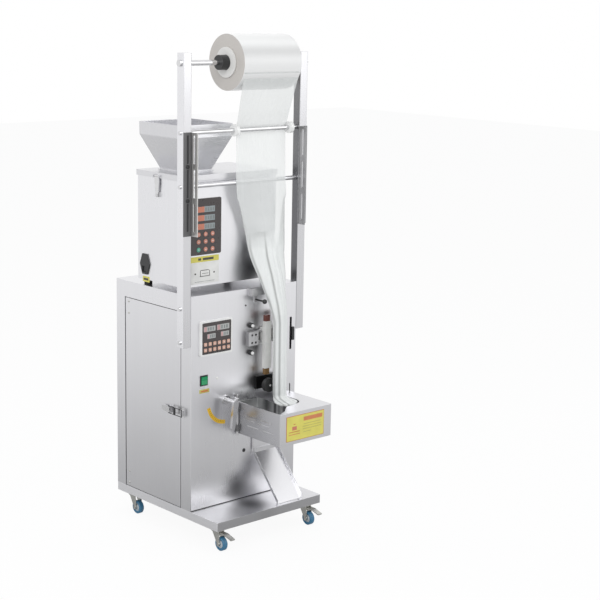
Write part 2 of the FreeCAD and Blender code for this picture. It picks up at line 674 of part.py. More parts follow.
def make_roll():
    """Film roll on its core, held on a shaft by two chucks with clamp collars."""
    roll_x = right - s.roll_clear - s.roll_width
    end = s.post_width + s.shaft_nut
    neck = rod("x", (left - end, post_middle, shaft_z), s.shaft_neck, s.cabinet_width + end * 2)
    thick = rod("x", (left + 1, post_middle, shaft_z), s.shaft_radius, s.cabinet_width - 2)
    nut_gap = 0.3
    nut_length = s.shaft_nut - nut_gap
    nuts = [rod("x", (start, post_middle, shaft_z), s.shaft_nut_radius, nut_length)
            for start in (left - end, right + s.post_width + nut_gap)]
    keep("film_shaft", join(neck, thick, *nuts))
    reel = tube("x", (roll_x, post_middle, shaft_z), s.roll_radius, s.core_radius, s.roll_width)
    core_start = roll_x - 1
    core = tube("x", (core_start, post_middle, shaft_z), s.core_radius, s.core_radius - s.core_wall,
                s.roll_width + 2)
    keep("film_roll", group(reel, core))
    chucks = []
    plug_radius = s.core_radius - s.core_wall
    for side, flange_start in ((1, core_start - s.chuck_flange), (-1, core_start + s.roll_width + 2)):
        plug_start = core_start if side > 0 else flange_start - s.chuck_plug
        clamp_start = flange_start - s.clamp_length if side > 0 else flange_start + s.chuck_flange
        flange = rod("x", (flange_start, post_middle, shaft_z), s.chuck_radius, s.chuck_flange)
        plug = rod("x", (plug_start, post_middle, shaft_z), plug_radius, s.chuck_plug)
        collar = rod("x", (clamp_start, post_middle, shaft_z), s.clamp_radius, s.clamp_length)
        bore = rod("x", (left + 1, post_middle, shaft_z), s.shaft_radius, s.cabinet_width - 2)
        chucks.append(cut(join(flange, plug, collar), bore))
    keep("roll_chucks", group(*chucks))


def cross_tangent(centre_a, radius_a, side_a, centre_b, radius_b):
    """Where a belt that crosses over leaves circle A and meets circle B, as two (y, z) points."""
    dy, dz = centre_b[0] - centre_a[0], centre_b[1] - centre_a[1]
    span = math.hypot(dy, dz)
    lean = math.acos((radius_a + radius_b) / span)
    angle = math.atan2(dz, dy) + side_a * lean
    leave = (centre_a[0] + radius_a * math.cos(angle), centre_a[1] + radius_a * math.sin(angle))
    meet = (centre_b[0] - radius_b * math.cos(angle), centre_b[1] - radius_b * math.sin(angle))
    return leave, meet


def circle_point(centre, radius, angle):
    """A point on a circle in the plane of the rollers' ends, as (y, z)."""
    return centre[0] + radius * math.cos(angle), centre[1] + radius * math.sin(angle)


def web_face(outside):
    """One face of the web from the roll to the spout: points of its lines and its one arc."""
    half = s.film_thickness.value / 2 * outside
    middle = post_middle.value
    roll = (middle, shaft_z.value)
    upper = (middle, upper_roller_z.value)
    lower = (middle, lower_roller_z.value)
    centre_line = s.film_gap.value + s.film_thickness.value / 2
    roll_radius = s.roll_radius.value + centre_line + half
    upper_radius = s.roller_radius.value + centre_line - half
    lower_radius = s.roller_radius.value + centre_line + half
    leave_roll, meet_upper = cross_tangent(roll, roll_radius, -1, upper, upper_radius)
    leave_upper, meet_lower = cross_tangent(upper, upper_radius, 1, lower, lower_radius)
    angles = [math.atan2(z - upper[1], y - upper[0]) for y, z in (meet_upper, leave_upper)]
    wrap = circle_point(upper, upper_radius, sum(angles) / 2)
    end_y = mouth_y.value - s.film_mouth_depth.value / 2 + s.film_thickness.value / 2 - half
    end = (end_y, weigher_bottom.value + s.film_mouth_up.value - 6)
    return [leave_roll, meet_upper, wrap, leave_upper, meet_lower, end]


def make_film_web():
    """Film from the roll, behind the upper and before the lower roller, to the spout."""
    back = [FreeCAD.Vector(0, y, z) for y, z in web_face(-1)]
    fore = [FreeCAD.Vector(0, y, z) for y, z in web_face(1)]
    edges = []
    for points in (back, fore):
        edges.append(Part.LineSegment(points[0], points[1]).toShape())
        edges.append(Part.Arc(points[1], points[2], points[3]).toShape())
        edges.append(Part.LineSegment(points[3], points[4]).toShape())
        edges.append(Part.LineSegment(points[4], points[5]).toShape())
    edges += [Part.LineSegment(back[end], fore[end]).toShape() for end in (0, -1)]
    profile = Part.Face(Part.Wire(Part.__sortEdges__(edges)))
    wide = s.film_width.value
    centre = film_left.value + wide / 2
    levels = [
        (fore[0].z + 5, centre - s.film_drift.value, wide + s.film_flare.value),
        (upper_roller_z.value + s.roller_radius.value, centre, wide),
        (lower_roller_z.value, centre, wide),
        (fore[-1].z - 5, tube_x.value, s.film_mouth_width.value * 0.82),
    ]
    outline_points = [FreeCAD.Vector(x - width / 2, front.value - 200, z) for z, x, width in levels]
    outline_points += [FreeCAD.Vector(x + width / 2, front.value - 200, z) for z, x, width in levels[::-1]]
    view = Part.Face(Part.makePolygon(outline_points + outline_points[:1]))
    long = s.cabinet_width.value
    band = profile.extrude(FreeCAD.Vector(long * 2, 0, 0))
    band.translate(FreeCAD.Vector(-long, 0, 0))
    return band.common(view.extrude(FreeCAD.Vector(0, 400, 0)))


def make_spout():
    """Forming spout: a funnel under the weigher's outlet that leads into an upright tube."""
    wall = s.tube_wall
    neck_z = top - s.tube_drop
    end_z = guard_top + s.tube_end_gap
    mouth_z = weigher_bottom + s.spout_top
    shells = []
    for inset, over in ((formula(0), formula(0)), (wall, formula(1))):
        mouth = ring((tube_x, mouth_y, mouth_z + over), s.spout_width / 2 - inset,
                     s.spout_depth / 2 - inset)
        throat = ring((tube_x, shoulder_y, weigher_bottom + s.throat_up), s.throat_width / 2 - inset,
                      s.throat_depth / 2 - inset)
        neck = ring((tube_x, tube_y, neck_z), s.tube_radius - inset, s.tube_radius - inset)
        straight = rod("z", (tube_x, tube_y, end_z - over), s.tube_radius - inset, neck_z - end_z + over)
        shells.append(join(loft(mouth, throat, neck), straight))
    slide_front = mouth_y + s.spout_depth / 4
    slide_z = mouth_z - s.slide_rise + 8
    slide_x = tube_x - s.slide_width / 2
    slide = channel(slide_x, s.slide_width, (slide_front, slide_z),
                    (slide_front + s.slide_reach, slide_z + s.slide_rise), wall, 24)
    ears = [box((x, weigher_front - 2, slide_z + 2), (s.slide_ear + 1, 2, 24))
            for x in (slide_x - s.slide_ear, slide_x + s.slide_width - 1)]
    gate = box((slide_x + wall, slide_front, slide_z + 6), (s.slide_width - wall * 2, s.spout_depth, s.slide_rise))
    return keep("forming_spout", join(cut(shells[0], shells[1], gate), cut(join(slide, *ears), shells[1])))


def channel(start_x, width, foot, head, wall, side):
    """A sloping channel between two (y, z) points: a floor with a cheek on each side."""
    part = body((start_x, 0, 0))
    floor = sketch(part, "YZ_Plane")
    outline(floor, [foot, head, (head[0], head[1] + wall * 1.6), (foot[0], foot[1] + wall * 1.6)])
    pad(part, floor, width)
    for offset in (formula(0), width - wall):
        cheek = sketch(part, "YZ_Plane", offset)
        outline(cheek, [foot, head, (head[0], head[1] + side), (foot[0], foot[1] + side)])
        pad(part, cheek, wall)
    return part


def make_film_tube():
    """Film that closes round the spout and runs down its tube, open behind at its top."""
    wall = s.film_thickness
    neck_z = top - s.tube_drop
    end_z = guard_top - s.film_end_gap
    mouth_z = weigher_bottom + s.film_mouth_up
    shoulder_z = weigher_bottom + s.film_shoulder_up
    shells = []
    for inset, over in ((formula(0), formula(0)), (wall, formula(1))):
        mouth = ring((tube_x, mouth_y, mouth_z + over), s.film_mouth_width / 2 - inset,
                     s.film_mouth_depth / 2 - inset)
        shoulder = ring((tube_x, shoulder_y, shoulder_z), s.film_shoulder_width / 2 - inset,
                        s.film_shoulder_depth / 2 - inset)
        neck = ring((tube_x, tube_y, neck_z), s.film_tube_radius - inset, s.film_tube_radius - inset)
        straight = rod("z", (tube_x, tube_y, end_z - over), s.film_tube_radius - inset,
                       neck_z - end_z + over)
        shells.append(join(loft(mouth, shoulder, neck), straight))
    half = s.film_back_opening / 2
    opening = box((tube_x - half, mouth_y + 8, shoulder_z), (half * 2, s.film_mouth_depth, mouth_z - shoulder_z + 1))
    return cut(shells[0], shells[1], opening)


def make_weigher():
    """Upper box of the machine on rubber feet, open at its top, with its outlet in front."""
    part = body((weigher_x, weigher_front, weigher_bottom))
    wide, deep, high, wall = s.weigher_width, s.weigher_depth, s.weigher_height, s.weigher_wall
    plan = sketch(part, "XY_Plane")
    rectangle(plan, formula(0), formula(0), wide, deep)
    block = pad(part, plan, high)
    soften(part, block, s.bend_radius, upright)
    inside = sketch(part, "XY_Plane", high)
    rectangle(inside, wall, wall, wide - wall * 2, deep - wall * 2)
    pocket(part, inside, high - wall)
    outlet = sketch(part, "XZ_Plane")
    outlet_width = s.slide_width + s.seat_gap * 2
    outlet_x = tube_x - weigher_x - outlet_width / 2
    rectangle(outlet, outlet_x, s.spout_top - s.slide_rise, outlet_width, s.slide_rise + 10)
    pocket(part, outlet, wall + 0.1)
    keep("weigher_case", part)
    feet = []
    for x in (weigher_x + s.feet_inset, weigher_x + wide - s.feet_inset):
        for y in (weigher_front + s.feet_inset, weigher_front + deep - s.feet_inset):
            feet.append(rod("z", (x, y, top), s.feet_radius, s.feet_height))
    keep("rubber_feet", group(*feet))


def make_lid():
    """Lid with a turned-down lip, hinged at its right edge and holed for the hopper."""
    out = s.lid_lip + s.lid_gap
    wide = s.weigher_width + out * 2
    deep = s.weigher_depth + out * 2
    drop = s.lid_height / 6
    part = body((weigher_x - out, weigher_front - out, weigher_top - drop))
    plan = sketch(part, "XY_Plane")
    rectangle(plan, formula(0), formula(0), wide, deep)
    block = pad(part, plan, s.lid_height + drop)
    soften(part, block, s.bend_radius, upright)
    inside = sketch(part, "XY_Plane")
    rectangle(inside, s.lid_lip, s.lid_lip, wide - s.lid_lip * 2, deep - s.lid_lip * 2)
    pocket(part, inside, s.lid_height + drop - s.lid_skin, reverse=True)
    hole = sketch(part, "XY_Plane", s.lid_height + drop)
    mouth = s.hopper_mouth
    hole_x = s.hopper_left - s.weigher_left + out - mouth / 2
    hole_y = s.hopper_back + out - mouth / 2
    rectangle(hole, hole_x, hole_y, mouth, mouth)
    pocket(part, hole, s.lid_skin * 2)
    relief = sketch(part, "XY_Plane")
    rectangle(relief, wide - s.lid_lip - 1, s.lid_lip, s.lid_lip + 2, deep - s.lid_lip * 2)
    pocket(part, relief, drop + 0.5, reverse=True)
    pieces = [part]
    edge_x = weigher_x + s.weigher_width + out
    for y in lid_hinge_places():
        pieces.append(rod("y", (lid_axis_x, y, lid_axis_z), s.lid_hinge_radius, s.lid_hinge_length / 2))
        pieces.append(box((edge_x - 1, y, lid_axis_z - 1), (lid_axis_x - edge_x + 1, s.lid_hinge_length / 2, 3)))
    bores = [rod("y", (lid_axis_x, y, lid_axis_z), s.lid_pin_radius + s.running_gap, s.lid_hinge_length)
             for y in lid_hinge_places()]
    latch_edge = weigher_x - out
    lug_y = latch_y - s.latch_width / 2
    for y in (lug_y - 4, lug_y + s.latch_width + 1):
        pieces.append(box((latch_edge - 7, y, weigher_top), (7.5, 3, 8)))
    pin = rod("y", (latch_edge - 3.3, lug_y - 4, weigher_top + 4), s.catch_pin, s.latch_width + 8)
    return keep("weigher_lid", join(cut(join(*pieces), *bores), pin))


def lid_hinge_places():
    """Where the two hinges of the lid start along the weigher's right edge."""
    return [weigher_front + s.weigher_depth * share for share in (0.14, 0.7)]


def make_lid_hinges():
    """Fixed half of both lid hinges, with their pins, and the catch of the lid latch."""
    pieces = []
    side = weigher_x + s.weigher_width
    half = s.lid_hinge_length / 2
    for y in lid_hinge_places():
        start = y + half + s.seat_gap
        length = half - s.seat_gap
        leaf = box((side, start, weigher_top - 26), (lid_axis_x - side + s.lid_hinge_radius, length, 12))
        web_x = lid_axis_x - s.lid_hinge_radius + 1
        web = box((web_x, start, weigher_top - 20), (s.lid_hinge_radius * 2 - 1, length, lid_axis_z - weigher_top + 20))
        knuckle = rod("y", (lid_axis_x, start, lid_axis_z), s.lid_hinge_radius, length)
        pin = rod("y", (lid_axis_x, y, lid_axis_z), s.lid_pin_radius, s.lid_hinge_length)
        pieces.append(join(leaf, web, knuckle, pin))
    catch_z = weigher_top + 4 - s.latch_drop
    catch = box((weigher_x - s.lid_lip, latch_y - s.latch_width / 2, catch_z), (s.lid_lip, s.latch_width, 16))
    return pieces + [catch]


def square_section(centre, half):
    """A level square whose middle is at a point, as a section of a loft."""
    face = doc.addObject("Part::Plane", "Square")
    bind(face, "Length", half * 2)
    bind(face, "Width", half * 2)
    place(face, (centre[0] - half, centre[1] - half, centre[2]))
    return face


def make_hopper():
    """Square funnel with an upright rim, standing on the lid with a neck through it."""
    x = left + s.hopper_left
    y = weigher_front + s.hopper_back
    foot = weigher_top + s.lid_height
    rim = foot + s.hopper_height
    shells = []
    for inset, over in ((formula(0), formula(0)), (s.hopper_wall, formula(1))):
        levels = [
            (foot - s.lid_skin * 3 - over, s.hopper_mouth / 2 - 1),
            (foot + s.hopper_neck_height, s.hopper_mouth / 2 - 1),
            (rim - s.hopper_rim_height, s.hopper_rim / 2 - s.hopper_rim_taper),
            (rim + over, s.hopper_rim / 2),
        ]
        sections = [square_section((x, y, z), half - inset) for z, half in levels]
        parts = [loft(lower, upper) for lower, upper in zip(sections, sections[1:])]
        shells.append(join(*parts))
    flange_half = s.hopper_mouth / 2 + s.hopper_flange
    flange = box((x - flange_half, y - flange_half, foot), (flange_half * 2, flange_half * 2, 3))
    return keep("hopper", cut(join(shells[0], flange), shells[1]))


def make_lid_latch():
    """Draw latch lever on the left of the weigher, hanging from its pivot."""
    x = weigher_x - s.lid_gap - s.lid_lip
    y = latch_y - s.latch_width / 2
    z = weigher_top + 4
    plate = body((x - 3.3, y, z))
    view = sketch(plate, "YZ_Plane")
    wide, long = s.latch_width, s.latch_drop
    outline(view, [(formula(0), formula(0)), (wide, formula(0)), (wide, -long * 0.3), (wide * 0.7, -long),
                   (wide * 0.25, -long), (formula(0), -long * 0.3)])
    pad(plate, view, formula(3))
    pivot = rod("y", (x - 3.3, y, z), 3, s.latch_width)
    grip = box((x - 7.3, y + wide * 0.3, z - s.latch_drop), (4, wide * 0.35, 9))
    bore = rod("y", (x - 3.3, y, z), s.catch_pin + s.running_gap, s.latch_width)
    return keep("lid_latch", cut(join(plate, pivot, grip), bore))


def make_panels():
    """Key panel on the weigher, its keys, the controller with its keys and the power inlet."""
    face = weigher_front
    px = weigher_x + s.panel_left
    pz = weigher_top - s.panel_drop - s.panel_height
    part = body((px, face, pz))
    front_view = sketch(part, "XZ_Plane")
    rectangle(front_view, formula(0), formula(0), s.panel_width, s.panel_height)
    plate = pad(part, front_view, s.panel_thickness)
    soften(part, plate, s.panel_corner, lambda edge: runs_along(edge, Y_AXIS))
    keep("weigher_panel", part)
    keys = []
    first_x = px + s.panel_width / 2 - s.key_pitch
    for column in range(3):
        for row in range(3):
            centre = (first_x + s.key_pitch * column, pz + s.key_low + s.key_pitch * row)
            keys.append(rod("y", (centre[0], face - s.panel_thickness - s.key_height, centre[1]),
                            s.key_size / 2, s.key_height))
    cx = left + s.controller_left
    cz = top - s.controller_drop - s.controller_height
    case = body((cx, front, cz))
    case_view = sketch(case, "XZ_Plane")
    rectangle(case_view, formula(0), formula(0), s.controller_width, s.controller_height)
    block = pad(case, case_view, s.controller_depth)
    soften(case, block, s.controller_corner, lambda edge: runs_along(edge, Y_AXIS))
    dish = sketch(case, "XZ_Plane", s.controller_depth)
    rim = s.controller_corner
    rectangle(dish, rim, rim, s.controller_width - rim * 2, s.controller_height - rim * 2)
    pocket(case, dish, formula(1))
    keep("controller_case", case)
    key_y = front - s.controller_depth
    for column in range(6):
        for row in range(2):
            x = cx + s.button_left + s.button_pitch * column
            z = cz + s.button_low + s.button_row_pitch * row
            keys.append(box((x, key_y, z), (s.button_width, 1, s.button_height)))
    keep("keypads", group(*keys))


def make_inlet():
    """Power inlet with a fuse drawer, low on the left side of the weigher."""
    y = front + s.inlet_back - 12
    z = weigher_bottom + s.inlet_up
    part = body((weigher_x, y, z))
    wide, high, cheek = s.inlet_width, s.inlet_height, s.inlet_width / 4
    face = sketch(part, "YZ_Plane")
    outline(face, [(cheek, formula(0)), (wide - cheek, formula(0)), (wide, high / 2),
                   (wide - cheek, high), (cheek, high), (formula(0), high / 2)])
    pad(part, face, s.inlet_depth, reverse=True)
    socket = sketch(part, "YZ_Plane", -s.inlet_depth)
    rectangle(socket, wide * 0.27, high * 0.1, wide * 0.46, high * 0.3)
    pocket(part, socket, s.inlet_depth - 0.5, reverse=True)
    return keep("power_inlet", part)


def make_feeder():
    """Vibrating tray under the hopper, its drive, and the weigh bucket with its flap."""
    x = left + s.hopper_left - s.tray_width / 2 - 10
    y = weigher_front + s.hopper_back - s.tray_width / 2 - 26
    z = weigher_bottom + s.feeder_up
    part = body((x, y, z))
    plan = sketch(part, "XY_Plane")
    rectangle(plan, formula(0), formula(0), s.feeder_length, s.tray_width)
    pad(part, plan, formula(40))
    hollow = sketch(part, "XY_Plane", 40)
    rectangle(hollow, formula(1.5), formula(1.5), s.feeder_length, s.tray_width - 3)
    pocket(part, hollow, formula(38.5))
    keep("feeder_tray", part)
    stand = box((x + 40, y + 10, weigher_bottom + s.weigher_wall), (90, 50, 30))
    coil = box((x + 60, y + 17, weigher_bottom + s.weigher_wall + 30), (50, 36, 96))
    springs = [box((x + at, y + 12, weigher_bottom + s.weigher_wall + 30),
                   (3, 46, s.feeder_up - s.weigher_wall - 30 - s.seat_gap)) for at in (45, 122)]
    keep("feeder_drive", join(stand, coil, *springs))
    bx = tube_x - s.bucket_width / 2
    by = weigher_front + s.bucket_back
    bz = weigher_bottom + s.bucket_up
    outer = box((bx, by, bz), (s.bucket_width, s.bucket_depth, s.bucket_height))
    inner = box((bx + 1.5, by - 1, bz + 1.5), (s.bucket_width - 3, s.bucket_depth - 0.5, s.bucket_height))
    arm = box((bx + s.bucket_width / 2 - 8, by + s.bucket_depth, weigher_bottom + s.weigher_wall),
              (16, 12, s.bucket_up + s.bucket_height - 10))
    keep("weigh_bucket", join(cut(outer, inner), arm))
    flap = box((bx + 0.4, by - 3.3, bz), (s.bucket_width - 0.8, 2, s.bucket_height - 6))
    pin = rod("x", (bx + 0.4, by - 2.8, bz + s.bucket_height - 6), 2.5, s.bucket_width - 0.8)
    keep("bucket_flap", join(flap, pin))


def make_switch_and_crank():
    """Rocker switch in its frame, and the hand crank on its flange."""
    x = left + s.switch_left
    z = switch_bottom
    wide, high, edge = s.switch_width, s.switch_height, s.switch_frame
    frame = cut(box((x, front - s.switch_depth, z), (wide, s.switch_depth, high)),
                box((x + edge, front - s.switch_depth, z + edge), (wide - edge * 2, s.switch_depth, high - edge * 2)))
    eye_x = left + s.sensor_slot_left + s.sensor_slot_width
    eye = box((eye_x - 2, front - 5, deck + s.sensor_slot_bottom + 31), (10, 5, 44))
    keep("panel_fittings", group(frame, eye))
    rocker = body((x + wide / 2, front, z + high / 2))
    side = sketch(rocker, "YZ_Plane", -(wide / 2 - edge - 0.3))
    half = high / 2 - edge - 1.2
    outline(side, [(formula(-0.4), -half), (formula(-0.4), half), (-s.rocker_height - 1.5, half),
                   (-s.rocker_height + 1, formula(0)), (-s.rocker_height + 0.5, -half)])
    pad(rocker, side, wide - edge * 2 - 0.6)
    keep("power_rocker", rocker)
    axis_x, axis_z = left + s.crank_left, deck + s.crank_up
    flange = rod("y", (axis_x, front - s.crank_flange_thickness - 0.3, axis_z), s.crank_flange_radius,
                 s.crank_flange_thickness)
    shaft = rod("y", (axis_x, front - s.crank_reach - s.crank_thickness / 2, axis_z), s.crank_shaft_radius,
                s.crank_reach + s.crank_thickness / 2 + 24)
    arm = body((axis_x, front - s.crank_reach, axis_z))
    view = sketch(arm, "XZ_Plane", -s.crank_thickness / 2)
    lean, length = s.crank_lean, s.crank_length
    hub, tip = s.crank_hub_radius, s.crank_tip_radius
    outline(view, [(-hub, formula(0)), (-lean - tip, -length), (-lean + tip, -length), (hub, formula(0))])
    pad(arm, view, s.crank_thickness)
    hub_disc = rod("y", (axis_x, front - s.crank_reach - s.crank_thickness / 2, axis_z), hub, s.crank_thickness)
    tip_disc = rod("y", (axis_x - lean, front - s.crank_reach - s.crank_thickness / 2, axis_z - length), tip,
                   s.crank_thickness)
    keep("hand_crank", join(flange, shaft, arm, hub_disc, tip_disc))


def make_seal_bars():
    """Back sealing bars on two guide pins, and the block that carries the pins."""
    low = deck + s.seal_up
    face_y = front - s.seal_back - s.seal_bar_depth
    pin_y = front - s.seal_pin_back
    pin_levels = [low + s.seal_pin_low, low + s.seal_pin_low + s.seal_pin_pitch]
    for name, side in (("seal_bar_left", -1), ("seal_bar_right", 1)):
        inner = tube_x + s.seal_opening * side
        start = inner - s.seal_bar_width if side < 0 else inner
        bar = box((start, face_y, low), (s.seal_bar_width, s.seal_bar_depth, s.seal_length))
        caps = [box((start + 2, face_y + 1, level), (s.seal_bar_width - 8, s.seal_bar_depth - 2, s.seal_cap))
                for level in (low - s.seal_cap, low + s.seal_length)]
        lug_bottom = low + s.seal_pin_low - 10
        lug_depth = s.seal_back - s.seal_pin_back + 8
        lug = box((start + 5, front - s.seal_back, lug_bottom),
                  (s.seal_bar_width - 10, lug_depth, s.seal_pin_pitch + 20))
        bores = [rod("x", (start, pin_y, level), s.seal_pin_radius + s.running_gap, s.seal_bar_width)
                 for level in pin_levels]
        keep(name, cut(join(bar, lug, *caps), *bores))
    block_x = left + s.seal_block_left
    block = box((block_x, front - s.seal_block_depth, deck + s.seal_block_up),
                (s.seal_block_width, s.seal_block_depth, s.seal_block_height))
    holes = [rod("y", (block_x + s.seal_block_width * across, front - s.seal_block_depth,
                       deck + s.seal_block_up + s.seal_block_height * up), s.seal_block_hole, 8)
             for across in (0.34, 0.72) for up in (0.2, 0.75)]
    pin_start = block_x + s.seal_block_width
    pin_end = tube_x + s.seal_opening + s.seal_bar_width + 17
    pins = [rod("x", (pin_start, pin_y, level), s.seal_pin_radius, pin_end - pin_start) for level in pin_levels]
    end_plate = box((pin_end, front - 22, low + s.seal_pin_low - 12), (6, 22, s.seal_pin_pitch + 24))
    wheel_z = deck + s.wheel_up
    plate_corner = (tube_x - 52, front - 10, wheel_z - 16)
    shaft_x = s.pull_radius + s.pull_nip / 2
    bores = [rod("y", (tube_x + shaft_x * side, front - 10, wheel_z), s.pull_shaft + s.running_gap, 10)
             for side in (-1, 1)]
    wheel_plate = cut(box(plate_corner, (104, 10, 42)), *bores)
    block_and_pins = join(cut(block, *holes), *pins, end_plate)
    keep("mechanism_brackets", group(block_and_pins, wheel_plate, make_spout_clamp()))


def make_pull_wheels():
    """Pair of pull wheels that grip the sealed seam between them."""
    z = deck + s.wheel_up
    for name, side in (("pull_wheel_left", -1), ("pull_wheel_right", 1)):
        x = tube_x + (s.pull_radius + s.pull_nip / 2) * side
        face = front - s.pull_back - s.pull_width
        tyre = rod("y", (x, face, z), s.pull_radius, s.pull_width)
        hub = rod("y", (x, face - 1.5, z), s.pull_hub, s.pull_width + 8)
        shaft = rod("y", (x, face - 1.5, z), s.pull_shaft, s.pull_back + s.pull_width + 26)
        keep(name, join(tyre, hub, shaft))


hinge_x = left + s.guard_left - s.hinge_tube
hinge_y = front - s.hinge_back


def make_guard():
    """Box guard over the sealing jaws, slotted for the film tube and hinged at its left."""
    wide, deep, high = s.guard_width, s.guard_reach - s.guard_gap, s.guard_height
    thin = s.guard_sheet
    part = body((left + s.guard_left, front - s.guard_reach, guard_bottom))
    plan = sketch(part, "XY_Plane")
    rectangle(plan, formula(0), formula(0), wide, deep)
    block = pad(part, plan, high)

    def front_corner(edge):
        return upright(edge) and edge.CenterOfMass.y < 1
    soften(part, block, s.bend_radius, front_corner)
    inside = sketch(part, "XY_Plane")
    rectangle(inside, thin, thin, wide - thin * 2, deep)
    pocket(part, inside, high - thin, reverse=True)
    slot = sketch(part, "XY_Plane", high)
    radius = s.guard_slot_width / 2
    centre_y = s.guard_reach - s.guard_slot_reach + radius
    rectangle(slot, s.guard_slot_left, centre_y, s.guard_slot_width, deep - centre_y)
    pocket(part, slot, thin * 2)
    open_side = sketch(part, "XY_Plane", high)
    slot_middle = s.guard_slot_left + radius
    outline(open_side, [(thin * 2, thin * 4), (slot_middle, centre_y - radius), (slot_middle, deep),
                        (thin * 2, deep)])
    pocket(part, open_side, thin * 2)
    nose = sketch(part, "XY_Plane", high)
    circle(nose, s.guard_slot_left + radius, centre_y, radius)
    pocket(part, nose, thin * 2)
    vents = sketch(part, "YZ_Plane")
    length, tall = s.louvre_length, s.louvre_height
    far = deep - length
    for shift, level in ((42, high * 0.62), (30, high * 0.5), (50, high * 0.32)):
        rectangle(vents, far - shift, level, length, tall)
        rectangle(vents, far - shift - length - 16, level, length, tall)
    pocket(part, vents, thin + 0.1, reverse=True)
    tubes = []
    length = s.hinge_tube_length
    for level in (guard_bottom + 8, guard_top - 8 - length):
        barrel = rod("z", (hinge_x, hinge_y, level), s.hinge_tube, length)
        web = box((hinge_x, hinge_y - 3, level), (s.hinge_tube + 0.5, 3, length))
        tubes += [barrel, web]
    full = join(part, *tubes)
    bore = rod("z", (hinge_x, hinge_y, guard_bottom - 1), s.hinge_rod + s.running_gap, s.guard_height + 2)
    keep("seal_guard", cut(full, bore))
    rod_foot = guard_bottom - 6
    pin = rod("z", (hinge_x, hinge_y, rod_foot), s.hinge_rod, s.guard_height + 6 + s.hinge_rise)
    lugs = [box((hinge_x - 4, hinge_y, level), (8, s.hinge_back, 6))
            for level in (guard_bottom - 3, guard_top + 6)]
    knuckles = [rod("z", (hinge_x, hinge_y, level), s.hinge_tube, 6) for level in (guard_bottom - 3, guard_top + 6)]
    keep("guard_hinge", join(pin, *lugs, *knuckles))


def make_jaws():
    """Cross sealing jaws with grooved faces, sliding on two rods from the panel."""
    low = guard_bottom + s.jaw_up
    axis_z = low + s.jaw_height / 2
    rod_xs = [tube_x + s.jaw_rod_half * side for side in (-1, 1)]
    reach = s.tube_reach + s.jaw_opening + s.jaw_depth + 6
    rods = [rod("y", (x, front - reach, axis_z), s.jaw_rod, reach + 40) for x in rod_xs]
    keep("jaw_rods", group(*rods))
    for name, side in (("rear_jaw", 1), ("front_jaw", -1)):
        face = tube_y + s.jaw_opening * side
        start = face if side > 0 else face - s.jaw_depth
        block = box((tube_x - s.jaw_half, start, low), (s.jaw_half * 2, s.jaw_depth, s.jaw_height))
        bores = [rod("y", (x, start, axis_z), s.jaw_rod + s.running_gap, s.jaw_depth) for x in rod_xs]
        groove_start = face if side > 0 else face - s.jaw_tooth
        grooves = [box((tube_x - s.jaw_half + 14, groove_start, low + 6 + 8 * row),
                       (s.jaw_half * 2 - 28, s.jaw_tooth, 3)) for row in range(5)]
        keep(name, cut(block, *bores, *grooves))


def make_chute():
    """Inclined channel that leads the bags over the front of the base tray."""
    foot = (front - s.chute_reach, deck + s.chute_foot)
    head = (front - 4, deck + s.chute_up)
    part = channel(left + s.chute_left, s.chute_width, foot, head, s.chute_wall, s.chute_side)
    over = s.chute_bar_overlap
    bar = box((left + s.chute_left - over, front - 4, deck + s.chute_up - 2),
              (s.chute_width + over * 2, 4, s.chute_bar_height))
    feet = [box((left + s.chute_left + at, front - s.chute_reach, deck), (12, 8, s.chute_foot + 2))
            for at in (formula(0), s.chute_width - 12)]
    guide = rod("z", (left + s.chute_left - 4, front - 2 - 2, deck + s.chute_up + 10), 3, 62)
    return keep("chute", join(part, bar, guide, *feet))


CASTERS = (("front_left", -1, "front"), ("front_right", 1, "front"),
           ("rear_left", -1, "rear"), ("rear_right", 1, "rear"))


def caster_centre(side, end):
    """Where a caster's swivel stands under the tray."""
    x = (s.cabinet_width / 2 - s.caster_inset) * side
    if end == "front":
        return x, front - s.tray_reach + s.caster_front_inset
    return x, rear - s.caster_rear_inset


def make_casters():
    """Four swivel casters, the front two with a brake pedal."""
    plates = []
    for name, side, end in CASTERS:
        x, y = caster_centre(side, end)
        half = s.caster_plate / 2
        plate_z = s.caster_height - s.caster_plate_thickness
        plate = box((x - half, y - half, plate_z), (s.caster_plate, s.caster_plate, s.caster_plate_thickness))
        pin_z = plate_z - s.swivel_gap - s.crown_thickness
        pin = rod("z", (x, y, pin_z), s.kingpin_radius, plate_z - pin_z)
        plates.append(join(plate, pin))
        make_caster(name, x, y, plate_z - s.swivel_gap, end == "front")
    keep("caster_plates", group(*plates))


